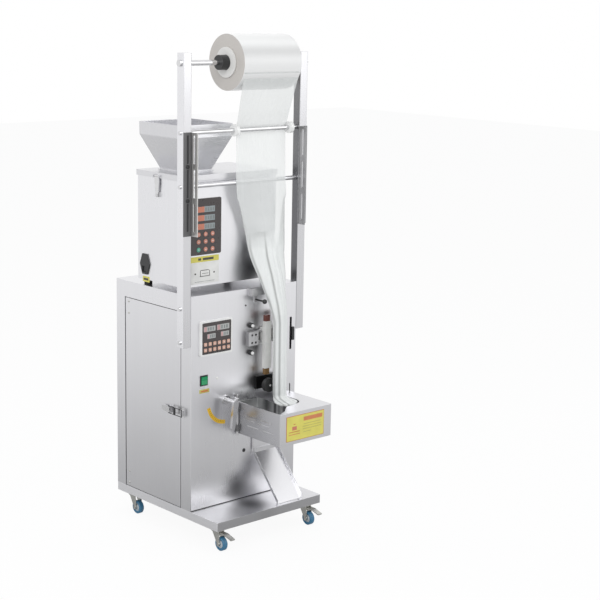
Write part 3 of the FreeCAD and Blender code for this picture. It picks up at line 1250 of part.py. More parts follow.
def make_caster(name, x, y, crown_top, braked):
    """One caster: a fork that swivels, its wheel on an axle and, in front, a pedal."""
    axle_y = y - s.caster_trail
    axle_z = s.wheel_radius
    crown_z = crown_top - s.crown_thickness
    crown = rod("z", (x, y, crown_z), s.crown_radius, s.crown_thickness)
    bore = rod("z", (x, y, crown_z), s.kingpin_radius + s.running_gap, s.crown_thickness)
    inner_half = s.wheel_width / 2 + s.fork_gap
    cheeks = []
    for cheek_x in (x - inner_half - s.fork_sheet, x + inner_half):
        cheek = body((cheek_x, y, formula(0)))
        view = sketch(cheek, "YZ_Plane")
        trail, edge = s.caster_trail, s.axle_head_radius + 1
        outline(view, [(s.crown_radius - 6, crown_z + 1), (-trail + edge, axle_z),
                       (-trail + edge - 2, axle_z - edge + 2), (-trail - edge + 2, axle_z - edge + 2),
                       (-trail - edge, axle_z), (-s.crown_radius + 4, crown_z + 1)])
        pad(cheek, view, s.fork_sheet)
        cheeks.append(cheek)
    axle_start = x - inner_half - s.fork_sheet
    axle_length = (inner_half + s.fork_sheet) * 2
    axle = rod("x", (axle_start, axle_y, axle_z), s.axle_radius, axle_length)
    heads = [rod("x", (start, axle_y, axle_z), s.axle_head_radius, s.axle_head)
             for start in (axle_start - s.axle_head, axle_start + axle_length)]
    fork = join(cut(crown, bore), axle, *cheeks, *heads)
    pin_y = y - s.crown_radius + 2
    pin_z = crown_z - s.pedal_pin - 5.5
    if braked:
        pin = rod("x", (x - s.wheel_width / 2 - s.fork_gap, pin_y, pin_z), s.pedal_pin, s.wheel_width + s.fork_gap * 2)
        fork = join(fork, pin)
        make_pedal(name, x, pin_y, pin_z)
    keep("fork_" + name, fork)
    wheel = body((x, axle_y, axle_z))
    half = s.wheel_width / 2
    profile = sketch(wheel, "XY_Plane")
    bore_radius, radius = s.axle_radius + s.running_gap, s.wheel_radius
    outline(profile, [(-half, bore_radius), (-half, bore_radius + 5), (-half + 2.5, bore_radius + 7),
                      (-half + 2.5, radius - 8), (-half, radius - 6), (-half, radius - 2.5),
                      (-half + 2.5, radius), (half - 2.5, radius), (half, radius - 2.5),
                      (half, radius - 6), (half - 2.5, radius - 8), (half - 2.5, bore_radius + 7),
                      (half, bore_radius + 5), (half, bore_radius)])
    turned = wheel.newObject("PartDesign::Revolution", "Turned")
    turned.Profile = profile
    turned.ReferenceAxis = (profile, ["H_Axis"])
    turned.Angle = 360
    keep("wheel_" + name, wheel)


def make_pedal(name, x, pin_y, pin_z):
    """Brake pedal: a bent lever on a pin between the fork's cheeks."""
    half = s.pedal_width / 2
    part = body((x - half, pin_y, pin_z))
    view = sketch(part, "YZ_Plane")
    eye = s.pedal_pin + 3
    reach, thick = s.pedal_length, s.pedal_thickness
    outline(view, [(eye, -eye + 1), (eye, eye - 1), (-eye, eye), (-reach * 0.4, eye), (-reach, eye - s.pedal_drop),
                   (-reach, eye - s.pedal_drop - thick), (-reach * 0.4, eye - thick), (-eye, -eye + 2)])
    pad(part, view, s.pedal_width)
    bore = rod("x", (x - half, pin_y, pin_z), s.pedal_pin + s.running_gap, s.pedal_width)
    keep("pedal_" + name, cut(part, bore))


def make_drive():
    """Shelf inside the cabinet with the gear motor and the cam shaft in its bearings."""
    shelf_z = deck + s.shelf_up
    inner_left = left + s.door_depth + 6
    inner_width = s.cabinet_width - s.door_depth - 6 - s.sheet
    shelf = box((inner_left, front + s.sheet, shelf_z), (inner_width, s.shelf_depth, 3))
    lips = [box((inner_left, front + s.sheet + at, shelf_z - s.shelf_flange), (inner_width, 3, s.shelf_flange))
            for at in (formula(0), s.shelf_depth - 3)]
    shaft_y = front + s.cam_back
    cam_z = shelf_z + s.cam_up
    bearings = []
    for x in (tube_x - 72, tube_x + 60):
        stand = box((x, shaft_y - 18, shelf_z + 3), (14, 36, s.cam_up + 12))
        bearings.append(cut(stand, rod("x", (x, shaft_y, cam_z), s.cam_shaft_radius + s.running_gap, 14)))
    keep("drive_shelf", join(shelf, *lips, *bearings))
    cams = []
    for x, lift in ((tube_x - 40, s.cam_lift), (tube_x + 20, -s.cam_lift)):
        cams.append(rod("x", (x, shaft_y, cam_z + lift), s.cam_radius, s.cam_width))
    shaft = rod("x", (tube_x - 96, shaft_y, cam_z), s.cam_shaft_radius, 180)
    keep("cam_shaft", join(shaft, *cams))
    gear_x = tube_x - 100 - s.gearbox_width
    gearbox = box((gear_x, shaft_y - s.gearbox / 2, shelf_z + 3), (s.gearbox_width, s.gearbox, s.cam_up + 30))
    motor = rod("x", (gear_x - s.motor_length, shaft_y, cam_z), s.motor_radius, s.motor_length)
    boss = rod("x", (gear_x + s.gearbox_width, shaft_y, cam_z), 18, 3.7)
    keep("drive_motor", join(gearbox, motor, boss))


def make_spout_clamp():
    """Arm on the panel that steadies the spout's tube, with a ball-ended clamp lever."""
    arm_z = top - s.clamp_arm_drop
    stem_x, stem_z = tube_x - s.knob_left, arm_z - 25
    arm = box((tube_x - s.clamp_arm, front - s.clamp_arm_width, arm_z - 10),
              (s.clamp_arm - s.tube_radius - 2, s.clamp_arm_width, 24))
    stem = rod("y", (stem_x, front - 45, stem_z), 2.5, 45)
    knob = ball((stem_x, front - 48, stem_z), s.knob_radius)
    plate = box((stem_x - 6, front - 3, stem_z - 8), (12, 3, 24))
    return join(arm, stem, knob, plate)


make_base_tray()
make_cabinet()
make_rear_panel()
make_side_door()
make_door_fittings()
make_posts()
make_rollers()
make_roll()
make_spout()
web = doc.addObject("Part::Feature", "Web")
web.Shape = make_film_web()
keep("film_web", join(make_film_tube(), web))
make_weigher()
make_lid()
make_hopper()
make_lid_latch()
make_panels()
make_inlet()
make_feeder()
make_switch_and_crank()
make_seal_bars()
make_pull_wheels()
make_guard()
make_jaws()
make_chute()
make_casters()
make_drive()
doc.recompute()

for item in doc.Objects:
    if "Invalid" in item.State or "Error" in item.State:
        raise RuntimeError("failed object: %s %s %s" % (item.Name, item.Label, item.State))
os.makedirs("parts", exist_ok=True)
for name, item in NODES.items():
    if item.Shape.isNull() or not item.Shape.isValid() or not item.Shape.Solids:
        raise RuntimeError("bad shape: " + name)
    item.Shape.exportStep("parts/%s.step" % name)
print(len(NODES), "sub-parts written")
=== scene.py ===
import json
import math

import bmesh
import bpy
import numpy as np
from mathutils import Matrix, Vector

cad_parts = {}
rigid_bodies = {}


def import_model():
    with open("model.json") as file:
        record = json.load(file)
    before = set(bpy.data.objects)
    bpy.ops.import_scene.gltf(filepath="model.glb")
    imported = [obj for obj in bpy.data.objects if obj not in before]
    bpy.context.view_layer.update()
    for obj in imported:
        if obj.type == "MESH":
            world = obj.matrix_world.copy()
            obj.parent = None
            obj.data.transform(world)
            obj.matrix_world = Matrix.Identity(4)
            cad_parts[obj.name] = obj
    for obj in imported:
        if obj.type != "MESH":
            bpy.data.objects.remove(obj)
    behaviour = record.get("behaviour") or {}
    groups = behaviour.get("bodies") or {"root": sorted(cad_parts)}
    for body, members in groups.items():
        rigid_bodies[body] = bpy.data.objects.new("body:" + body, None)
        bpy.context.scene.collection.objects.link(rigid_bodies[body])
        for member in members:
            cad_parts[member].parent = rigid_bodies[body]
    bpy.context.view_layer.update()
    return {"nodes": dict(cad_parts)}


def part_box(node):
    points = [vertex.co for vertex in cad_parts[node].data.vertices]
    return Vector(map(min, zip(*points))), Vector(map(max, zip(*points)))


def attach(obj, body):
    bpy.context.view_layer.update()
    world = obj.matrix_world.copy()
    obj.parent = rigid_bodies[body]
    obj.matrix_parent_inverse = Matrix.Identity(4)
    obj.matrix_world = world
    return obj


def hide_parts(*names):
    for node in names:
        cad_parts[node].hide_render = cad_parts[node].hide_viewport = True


# Looks of the machine. Lengths are in metres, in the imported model's own frame: +Z up, -Y towards
# the user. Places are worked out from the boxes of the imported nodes.

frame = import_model()
nodes = frame["nodes"]
TURN = 2 * math.pi
CASTERS = ("front_left", "front_right", "rear_left", "rear_right")
STEEL = (0.70, 0.70, 0.72)
# how bright polished sheets see the floor beside the machine, where 1 is white: painted shade
SHADED_NEAR_FLOOR = 0.42
# how far a change of finish lies from the face it belongs to, so that it never flickers
GRAZE = 0.0004


def corners(node):
    """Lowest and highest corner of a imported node, as arrays."""
    low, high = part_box(node)
    return np.array(low), np.array(high)


# Meshes


def surface(name, grid, closed=False):
    """Mesh of a grid of points (rows, columns, 3). A closed one joins its last column to its first.
    UV runs 0 to 1 along the columns and the rows."""
    grid = np.asarray(grid, float)
    rows, columns = grid.shape[:2]
    index = np.arange(rows * columns).reshape(rows, columns)
    if closed:
        index = np.hstack([index, index[:, :1]])
    quads = [index[:-1, :-1], index[:-1, 1:], index[1:, 1:], index[1:, :-1]]
    faces = np.stack(quads, -1).reshape(-1, 4)
    u, v = np.meshgrid(np.linspace(0, 1, index.shape[1]), np.linspace(0, 1, index.shape[0]))
    before, after = slice(None, -1), slice(1, None)
    order = ((before, before), (before, after), (after, after), (after, before))
    corner_uv = [np.stack([u[r, c], v[r, c]], -1) for r, c in order]
    mesh = bpy.data.meshes.new(name)
    mesh.from_pydata(grid.reshape(-1, 3).tolist(), [], faces.tolist())
    layer = mesh.uv_layers.new(name="UVMap")
    layer.data.foreach_set("uv", np.stack(corner_uv, -2).reshape(-1))
    tidy_mesh(mesh)
    piece = bpy.data.objects.new(name, mesh)
    bpy.context.scene.collection.objects.link(piece)
    return piece


def tidy_mesh(mesh):
    """Merge seams and poles, point the faces outwards and shade them smooth below 35 degrees."""
    work = bmesh.new()
    work.from_mesh(mesh)
    bmesh.ops.remove_doubles(work, verts=work.verts, dist=1e-6)
    bmesh.ops.recalc_face_normals(work, faces=work.faces)
    work.to_mesh(mesh)
    work.free()
    mesh.shade_smooth()
    mesh.set_sharp_from_angle(angle=math.radians(35))


def joined(name, parts, body="frame"):
    """Join parts, which keep their finishes, as one new piece that rides on a body."""
    for other in bpy.context.view_layer.objects:
        other.select_set(False)
    for part in parts:
        part.select_set(True)
    piece = parts[0]
    bpy.context.view_layer.objects.active = piece
    if len(parts) > 1:
        bpy.ops.object.join()
    piece.name = name
    piece.data.name = name
    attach(piece, body)
    return piece


def basis(axis):
    """Two directions square to an axis, and the axis itself, as unit arrays."""
    along = np.array({"x": (1, 0, 0), "y": (0, 1, 0), "z": (0, 0, 1)}[axis], float)
    across = np.array({"x": (0, 1, 0), "y": (1, 0, 0), "z": (1, 0, 0)}[axis], float)
    return across, np.cross(along, across), along


def lathe(name, centre, axis, profile, steps=48):
    """Turned form: each (radius, distance) of the profile makes a circle round the axis."""
    across, up, along = basis(axis)
    profile = np.array(profile, float)
    turn = np.linspace(0, TURN, steps, endpoint=False)
    ring = np.cos(turn)[:, None] * across + np.sin(turn)[:, None] * up
    grid = profile[:, 0, None, None] * ring + profile[:, 1, None, None] * along + np.array(centre)
    return surface(name, grid, closed=True)


def rounded_outline(width, height, radius, steps=6):
    """Rectangle with round corners: quarter circles placed at its four corners, in order."""
    radius = max(min(radius, width / 2, height / 2), 1e-6)
    quarter = np.linspace(0, math.pi / 2, steps)
    centres = [(1, 1, 0), (-1, 1, 1), (-1, -1, 2), (1, -1, 3)]
    parts = [np.stack([sx * (width / 2 - radius) + radius * np.cos(quarter + turn * math.pi / 2),
                       sy * (height / 2 - radius) + radius * np.sin(quarter + turn * math.pi / 2)], -1)
             for sx, sy, turn in centres]
    return np.vstack(parts)


def slab(name, centre, axis, size, radius, edge=0.0005, crown=0.0):
    """Plate with round corners: outlines stacked against the axis, drawn in by a quarter circle at
    the front edge. Size is (width, height, depth), and centre is the middle of its back."""
    width, height, depth = size
    across, _, along = basis(axis)
    up = np.array((0, 0, 1.0))
    half = min(width, height) / 2
    bend = np.linspace(0, math.pi / 2, 5)
    insets = [(half, 0), (0, 0)]
    insets += [(edge * (1 - math.cos(b)), depth - edge + edge * math.sin(b)) for b in bend]
    insets += [(edge + (half - edge) * share, depth + crown * (1 - (1 - share) ** 2))
               for share in (0.33, 0.66, 1)]
    rows = []
    for inset, level in insets:
        flat = rounded_outline(width - 2 * inset, height - 2 * inset, radius - inset)
        rows.append(flat[:, :1] * across + flat[:, 1:] * up - level * along)
    return surface(name, np.array(rows) + np.array(centre), closed=True)


def smooth_path(points, count=40):
    """Quadratic B-spline through a few points: each span blends three neighbours."""
    points = np.array(points, float)
    knots = np.vstack([points[:1], points, points[-1:]])
    spans = len(knots) - 2
    place = np.linspace(0, spans, count)
    span = np.minimum(place.astype(int), spans - 1)
    t = (place - span)[:, None]
    a, b, c = knots[span], knots[span + 1], knots[span + 2]
    return 0.5 * (1 - t) ** 2 * a + (0.5 + t * (1 - t)) * b + 0.5 * t ** 2 * c


# Materials and finishes


class Recipe:
    """A node material under construction: one Principled shader fed by patterns on Object
    coordinates."""

    def __init__(self, name, colour, roughness, metallic=0.0, **sockets):
        self.material = bpy.data.materials.new(name)
        self.material.use_nodes = True
        self.tree = self.material.node_tree
        self.shader = self.tree.nodes["Principled BSDF"]
        self.shader.inputs["Base Color"].default_value = (*colour, 1)
        self.shader.inputs["Roughness"].default_value = roughness
        self.shader.inputs["Metallic"].default_value = metallic
        for socket, value in sockets.items():
            self.shader.inputs[socket.replace("_", " ")].default_value = value
        self.place = self.tree.nodes.new("ShaderNodeTexCoord").outputs["Object"]
        self.colour, self.roughness = colour, roughness

    def node(self, kind, **settings):
        new = self.tree.nodes.new("ShaderNode" + kind)
        for setting, value in settings.items():
            setattr(new, setting, value)
        return new

    def wire(self, output, socket):
        self.tree.links.new(output, socket)

    def mapped(self, stretch, shift=(0, 0, 0)):
        mapping = self.node("Mapping")
        mapping.inputs["Scale"].default_value = stretch
        mapping.inputs["Location"].default_value = shift
        self.wire(self.place, mapping.inputs["Vector"])
        return mapping.outputs["Vector"]

    def noise(self, scale, stretch=(1, 1, 1), detail=3.0, rough=0.5):
        pattern = self.node("TexNoise")
        pattern.inputs["Scale"].default_value = scale
        pattern.inputs["Detail"].default_value = detail
        pattern.inputs["Roughness"].default_value = rough
        self.wire(self.mapped(stretch), pattern.inputs["Vector"])
        return pattern.outputs["Fac"]

    def between(self, value, low, high, start=0.3, end=0.7):
        """Map a pattern's value to a span of numbers."""
        span = self.node("MapRange")
        for socket, number in zip(("From Min", "From Max", "To Min", "To Max"), (start, end, low, high)):
            span.inputs[socket].default_value = number
        self.wire(value, span.inputs["Value"])
        return span.outputs["Result"]

    def calc(self, operation, a, b):
        """One sum on two values, either of which may be a plain number."""
        sum_node = self.node("Math", operation=operation)
        for socket, value in zip(sum_node.inputs, (a, b)):
            if isinstance(value, (int, float)):
                socket.default_value = value
            else:
                self.wire(value, socket)
        return sum_node.outputs[0]

    def along(self, axis, space="Object"):
        """One coordinate of a place in the object, or of the mesh's own UV map."""
        if not hasattr(self, "split_" + space):
            source = self.place.node.outputs[space]
            split = self.node("SeparateXYZ")
            self.wire(source, split.inputs["Vector"])
            setattr(self, "split_" + space, split)
        return getattr(self, "split_" + space).outputs[axis.upper()]

    def past(self, axis, edge):
        """1 beyond a level along an axis, and 0 before it."""
        return self.calc("GREATER_THAN", self.along(axis), edge)

    def points_down(self, axis):
        """1 on the faces that point down an axis, and 0 on the others."""
        return self.calc("LESS_THAN", self.along(axis, "Normal"), -0.5)

    def hump(self, value, centre, reach, height=1.0):
        """Soft hump round one value: it falls to nothing at the reach on either side."""
        away = self.calc("ABSOLUTE", self.calc("SUBTRACT", value, centre), 0.0)
        span = self.node("MapRange", interpolation_type="SMOOTHSTEP")
        for socket, number in zip(("From Min", "From Max", "To Min", "To Max"), (0, reach, height, 0)):
            span.inputs[socket].default_value = number
        self.wire(away, span.inputs["Value"])
        return span.outputs["Result"]

    def mix(self, factor, first, second):
        """Blend two colours, or outputs that carry them, by a pattern."""
        blend = self.node("Mix", data_type="RGBA")
        for socket, value in ((blend.inputs[0], factor), (blend.inputs[6], first), (blend.inputs[7], second)):
            if isinstance(value, (int, float)):
                socket.default_value = value
            elif isinstance(value, tuple):
                socket.default_value = (*value, 1)
            else:
                self.wire(value, socket)
        return blend.outputs[2]

    def paint(self, output):
        self.wire(output, self.shader.inputs["Base Color"])
        return self

    def gloss(self, output):
        self.wire(output, self.shader.inputs["Roughness"])
        return self

    def relief(self, height, strength, depth=0.0005, bevel=0.0):
        bump = self.node("Bump")
        bump.inputs["Strength"].default_value = strength
        bump.inputs["Distance"].default_value = depth
        self.wire(height, bump.inputs["Height"])
        if bevel:
            soft = self.node("Bevel", samples=4)
            soft.inputs["Radius"].default_value = bevel
            self.wire(soft.outputs["Normal"], bump.inputs["Normal"])
        self.wire(bump.outputs["Normal"], self.shader.inputs["Normal"])
        return self


def shaded(colour, factor):
    """A colour made lighter or darker by one factor."""
    return tuple(channel * factor for channel in colour)


def brushed_steel(name, tone=1.0, grain="z", roughness=0.3, colour=STEEL, shade=None, faces=(),
                  fade=None, plane="xz", spots=()):
    """Brushed sheet: fine streaks along the grain in height and gloss, and faint cloudy smudges.
    The shade is painted shade: a tone before a level along an axis. Faces are the sides that point
    down an axis, with their tone, as painted light and shade. A fade darkens the front between two
    levels along an axis, by two shares. Each spot is a soft patch of painted shade: its place and its
    reach on the plane's two axes, and how dark it is. On the xz plane the spots stay on the front."""
    fine, long, smudge, bevel = 900.0, 9.0, 0.014, 0.0012
    shade_spot_tone, faded_tone = 0.12, 0.2
    base = shaded(colour, tone)
    stretch = tuple(long if axis == grain else fine for axis in "xyz")
    steel = Recipe(name, base, roughness, 1.0)
    streaks = steel.noise(1.0, stretch, detail=2.0)
    clouds = steel.noise(3.5, detail=4.0, rough=0.6)
    lines = steel.noise(1.0, tuple(value * 0.22 for value in stretch), detail=1.0)
    both = steel.calc("ADD", steel.calc("MULTIPLY", streaks, 0.5), steel.calc("MULTIPLY", lines, 0.5))
    brushed = steel.mix(steel.between(both, 0, 1), shaded(base, 1 - smudge), shaded(base, 1 + smudge))
    # painted shade: a darker tone on the part before a level along an axis
    if shade:
        axis, edge, shade_tone = shade
        brushed = steel.mix(steel.past(axis, edge), shaded(base, shade_tone), brushed)
    # painted light and shade: the sides that point down an axis are made lighter or darker
    for axis, side_light_tone in faces:
        brushed = steel.mix(steel.points_down(axis), brushed, shaded(base, side_light_tone))
    if fade:
        axis, start, end, at_start, at_end = fade
        share = steel.between(steel.along(axis), at_start, at_end, start, end)
        front = steel.calc("MULTIPLY", share, steel.points_down("y"))
        brushed = steel.mix(front, brushed, shaded(base, faded_tone))
    # soft spots of painted shade, darkest at their middle
    for first, second, reach_first, reach_second, dark in spots:
        spot = steel.calc("MULTIPLY", steel.hump(steel.along(plane[0]), first, reach_first, dark),
                          steel.hump(steel.along(plane[1]), second, reach_second))
        if plane == "xz":
            spot = steel.calc("MULTIPLY", spot, steel.points_down("y"))
        brushed = steel.mix(spot, brushed, shaded(base, shade_spot_tone))
    steel.paint(brushed)
    steel.gloss(steel.calc("ADD", steel.between(clouds, roughness - 0.04, roughness + 0.05),
                           steel.between(streaks, -0.015, 0.015)))
    return steel.relief(streaks, 0.007, 0.0004, bevel).material


def folded_bracket(name, dark, grey, pale, fold_y):
    """Painted angle brackets: dark flat legs, and forward legs that are pale on the left one and
    grey on the right one, as painted light and shade."""
    angle = Recipe(name, dark, 0.34, 0.85)
    streaks = angle.noise(1.0, (700, 700, 9), detail=2.0)
    # painted light on the left forward leg, and painted shade on the right one
    forward = angle.mix(angle.past("x", 0.0), pale, grey)
    plain = angle.mix(angle.past("y", fold_y), forward, dark)
    angle.paint(angle.mix(angle.between(streaks, 0.0, 0.12), plain, shaded(dark, 0.5)))
    angle.gloss(angle.between(streaks, 0.3, 0.4))
    return angle.relief(streaks, 0.012, 0.0004, 0.0008).material


def collar_with_shade_bands(name, pale, dark, bands):
    """Bent sheet whose bright face has dark upright bands of painted shade where it turns: places along y."""
    collar = Recipe(name, pale, 0.3, 0.9)
    streaks = collar.noise(1.0, (600, 600, 12), detail=2.0)
    tone = collar.between(streaks, 0.0, 0.08)
    # painted shade in upright bands where the bright sheet turns
    for place, reach, height in bands:
        tone = collar.calc("ADD", tone, collar.hump(collar.along("y"), place, reach, height))
    collar.paint(collar.mix(collar.calc("MINIMUM", tone, 1.0), pale, dark))
    return collar.relief(streaks, 0.02, 0.0004, 0.0006).material


def turned_metal(name, colour, roughness=0.2, smudge=0.08):
    """Plated or turned metal: small spots and faint wear in colour and gloss."""
    metal = Recipe(name, colour, roughness, 1.0)
    spots = metal.noise(60.0, detail=5.0, rough=0.65)
    metal.paint(metal.mix(metal.between(spots, 0, 1), shaded(colour, 1 - smudge), shaded(colour, 1 + smudge)))
    metal.gloss(metal.between(metal.noise(25.0), roughness - 0.06, roughness + 0.1))
    return metal.relief(spots, 0.05, 0.0003, 0.0006).material


def moulded(name, colour, roughness=0.45, texture=0.08, scale=900.0, bevel=0.0006, **sockets):
    """Moulded plastic or rubber: fine leathery grain, and dust that dulls it in patches."""
    plastic = Recipe(name, colour, roughness, **sockets)
    grain = plastic.noise(scale, detail=2.0)
    dust = plastic.noise(30.0, detail=4.0)
    plastic.paint(plastic.mix(plastic.between(dust, 0, 1), shaded(colour, 0.93), shaded(colour, 1.07)))
    plastic.gloss(plastic.between(dust, roughness - 0.05, roughness + 0.08))
    return plastic.relief(grain, texture, 0.0002, bevel).material


def stretched_film(name, colour):
    """Clear film: see-through and milky above, and whiter where it is gathered round the tube,
    with painted shade along long fold lines that follow its length there."""
    film = Recipe(name, colour, 0.24, IOR=1.45, Coat_Weight=0.25, Coat_Roughness=0.15)
    wrinkles = film.noise(1.0, (40, 40, 4), detail=3.0)
    haze = film.noise(8.0, (1, 1, 0.3), detail=3.0)
    height, across = film.along("z"), film.along("x", "UV")
    gathered = film.between(height, 1, 0, 0.925, 0.985)
    # each fold of painted shade: place on the strip at the tube and at the spout's mouth, reach and depth
    fold_shade = 0.0
    for at_tube, at_mouth, reach, depth in ((0.420, 0.393, 0.034, 0.60), (0.338, 0.125, 0.035, 0.46),
                                            (0.605, 0.855, 0.022, 0.38), (0.525, 0.600, 0.014, 0.10)):
        place = film.between(height, at_tube, at_mouth, 0.70, 0.93)
        crease_shade = film.hump(film.calc("SUBTRACT", across, place), 0.0, reach, depth)
        fold_shade = film.calc("ADD", fold_shade, film.calc("MULTIPLY", crease_shade, gathered))
    plain = film.mix(film.between(haze, 0, 1), shaded(colour, 0.96), shaded(colour, 1.02))
    # painted shade along the fold lines
    film.paint(film.mix(fold_shade, plain, shaded(colour, 0.22)))
    film.gloss(film.between(wrinkles, 0.18, 0.34))
    film.wire(film.between(gathered, 0.68, 0.965, 0, 1), film.shader.inputs["Alpha"])
    return film.relief(wrinkles, 0.22, 0.0012).material


def wound_film(name, colour, end_colour, axis_yz, radius):
    """Wound roll: level bands of painted shade on its side, and a darker end with fine rings round its
    middle. Each band is given by its drop below the roll's top, its reach and how dark it is."""
    ring_rate, edge = 2300.0, radius - GRAZE
    roll = Recipe(name, colour, 0.34, Coat_Weight=0.25, Coat_Roughness=0.2)
    placed = roll.mapped((0, 1, 1), (0, -axis_yz[0], -axis_yz[1]))
    length = roll.node("VectorMath", operation="LENGTH")
    roll.wire(placed, length.inputs[0])
    distance = length.outputs["Value"]
    rings = roll.calc("SINE", roll.calc("MULTIPLY", distance, ring_rate), 0.0)
    end = roll.mix(roll.between(rings, 0, 1, -1.2, 1.2), shaded(end_colour, 0.95), end_colour)
    layers = roll.noise(1.0, (1.5, 26, 26), detail=2.0)
    side = roll.mix(roll.between(layers, 0, 1), shaded(colour, 0.94), colour)
    # level bands of painted shade across the roll's curved side
    for drop, reach, dark in ((0.052, 0.030, 0.42), (0.008, 0.020, 0.16), (0.150, 0.040, 0.30)):
        band = roll.hump(roll.along("z"), axis_yz[1] + edge - drop, reach, dark)
        side = roll.mix(band, side, shaded(colour, 0.55))
    outer = roll.calc("GREATER_THAN", distance, edge)
    roll.paint(roll.mix(outer, end, side))
    return roll.relief(layers, 0.1, 0.0006).material


def two_tone(name, outside, inside, axis_at, radius):
    """Moulded wheel or hub: the colour changes at one distance from its axis, whose place holds
    None for the axis's own coordinate."""
    hub = Recipe(name, outside, 0.4)
    placed = hub.mapped(tuple(0 if at is None else 1 for at in axis_at),
                        tuple(0 if at is None else -at for at in axis_at))
    length = hub.node("VectorMath", operation="LENGTH")
    hub.wire(placed, length.inputs[0])
    dust = hub.noise(40.0, detail=3.0)
    dusty = hub.mix(hub.between(dust, 0, 1), shaded(outside, 0.95), outside)
    hub.paint(hub.mix(hub.calc("GREATER_THAN", length.outputs["Value"], radius), inside, dusty))
    return hub.relief(dust, 0.05, 0.0002, 0.0006).material


def banded_bar(name, middle, above, below, high, low, metallic):
    """Bar with an end block of another metal above one level and below another."""
    bar = Recipe(name, middle, 0.4, metallic)
    wear = bar.noise(70.0, detail=4.0)
    plain = bar.mix(bar.between(wear, 0, 1), shaded(middle, 0.93), middle)
    capped = bar.mix(bar.past("z", high), plain, above)
    bar.paint(bar.mix(bar.past("z", low), below, capped))
    return bar.relief(wear, 0.05, 0.0003, 0.0008).material


def lit_display(name, colour, glow=0.0):
    """Dark window of a display behind clear plastic."""
    window = Recipe(name, colour, 0.12, Coat_Weight=0.6, Coat_Roughness=0.05)
    window.shader.inputs["Emission Color"].default_value = (*colour, 1)
    window.shader.inputs["Emission Strength"].default_value = glow
    dust = window.noise(45.0, detail=3.0)
    window.paint(window.mix(window.between(dust, 0, 1), shaded(colour, 0.9), shaded(colour, 1.1)))
    return window.gloss(window.between(dust, 0.08, 0.2)).material


ROLL_LOW, ROLL_HIGH = corners("film_roll")
ROLL_AXIS = tuple(((ROLL_LOW + ROLL_HIGH) / 2)[1:])
ROLL_RADIUS = (ROLL_HIGH - ROLL_LOW)[2] / 2
LEFT_WHEEL = sum(corners("pull_wheel_left")) / 2
CABINET_FRONT = corners("cabinet_shell")[0][1]
FACE_WIDE, FACE_TALL = 0.117, 0.101
BAR_LOW, BAR_HIGH = corners("seal_bar_left")
RIGHT_POST_FACE = corners("right_post")[0][0]
BLACK = (0.02, 0.02, 0.02)
PRINTS = {
    "label_yellow": (0.70, 0.64, 0.13), "label_edge": (0.55, 0.16, 0.05), "label_red": (0.62, 0.22, 0.09),
    "label_olive": (0.50, 0.46, 0.12), "label_pale": (0.78, 0.78, 0.76), "print_white": (0.82, 0.82, 0.80),
    "arc_yellow": (0.72, 0.44, 0.02),
}
KEYS = {"key_salmon": (0.60, 0.26, 0.19), "key_green": (0.10, 0.38, 0.27), "key_pale": (0.66, 0.40, 0.31)}
# spots of painted shade on the cabinet's front: x, z, reach each way, and how dark
CABINET_SHADE_SPOTS = (
    (-0.030, 0.150, 0.075, 0.065, 0.75), (0.020, 0.215, 0.045, 0.075, 0.4),
    (-0.190, 0.105, 0.150, 0.070, 0.42), (0.030, 0.625, 0.060, 0.065, 0.85), (0.095, 0.480, 0.060, 0.045, 0.7),
    (0.014, 0.640, 0.060, 0.085, 0.55), (0.045, 0.700, 0.055, 0.045, 0.45), (0.030, 0.500, 0.075, 0.030, 0.6), (0.000, 0.484, 0.080, 0.018, 0.5),
    (0.110, 0.440, 0.090, 0.030, 0.8), (0.085, 0.712, 0.050, 0.018, 0.5))
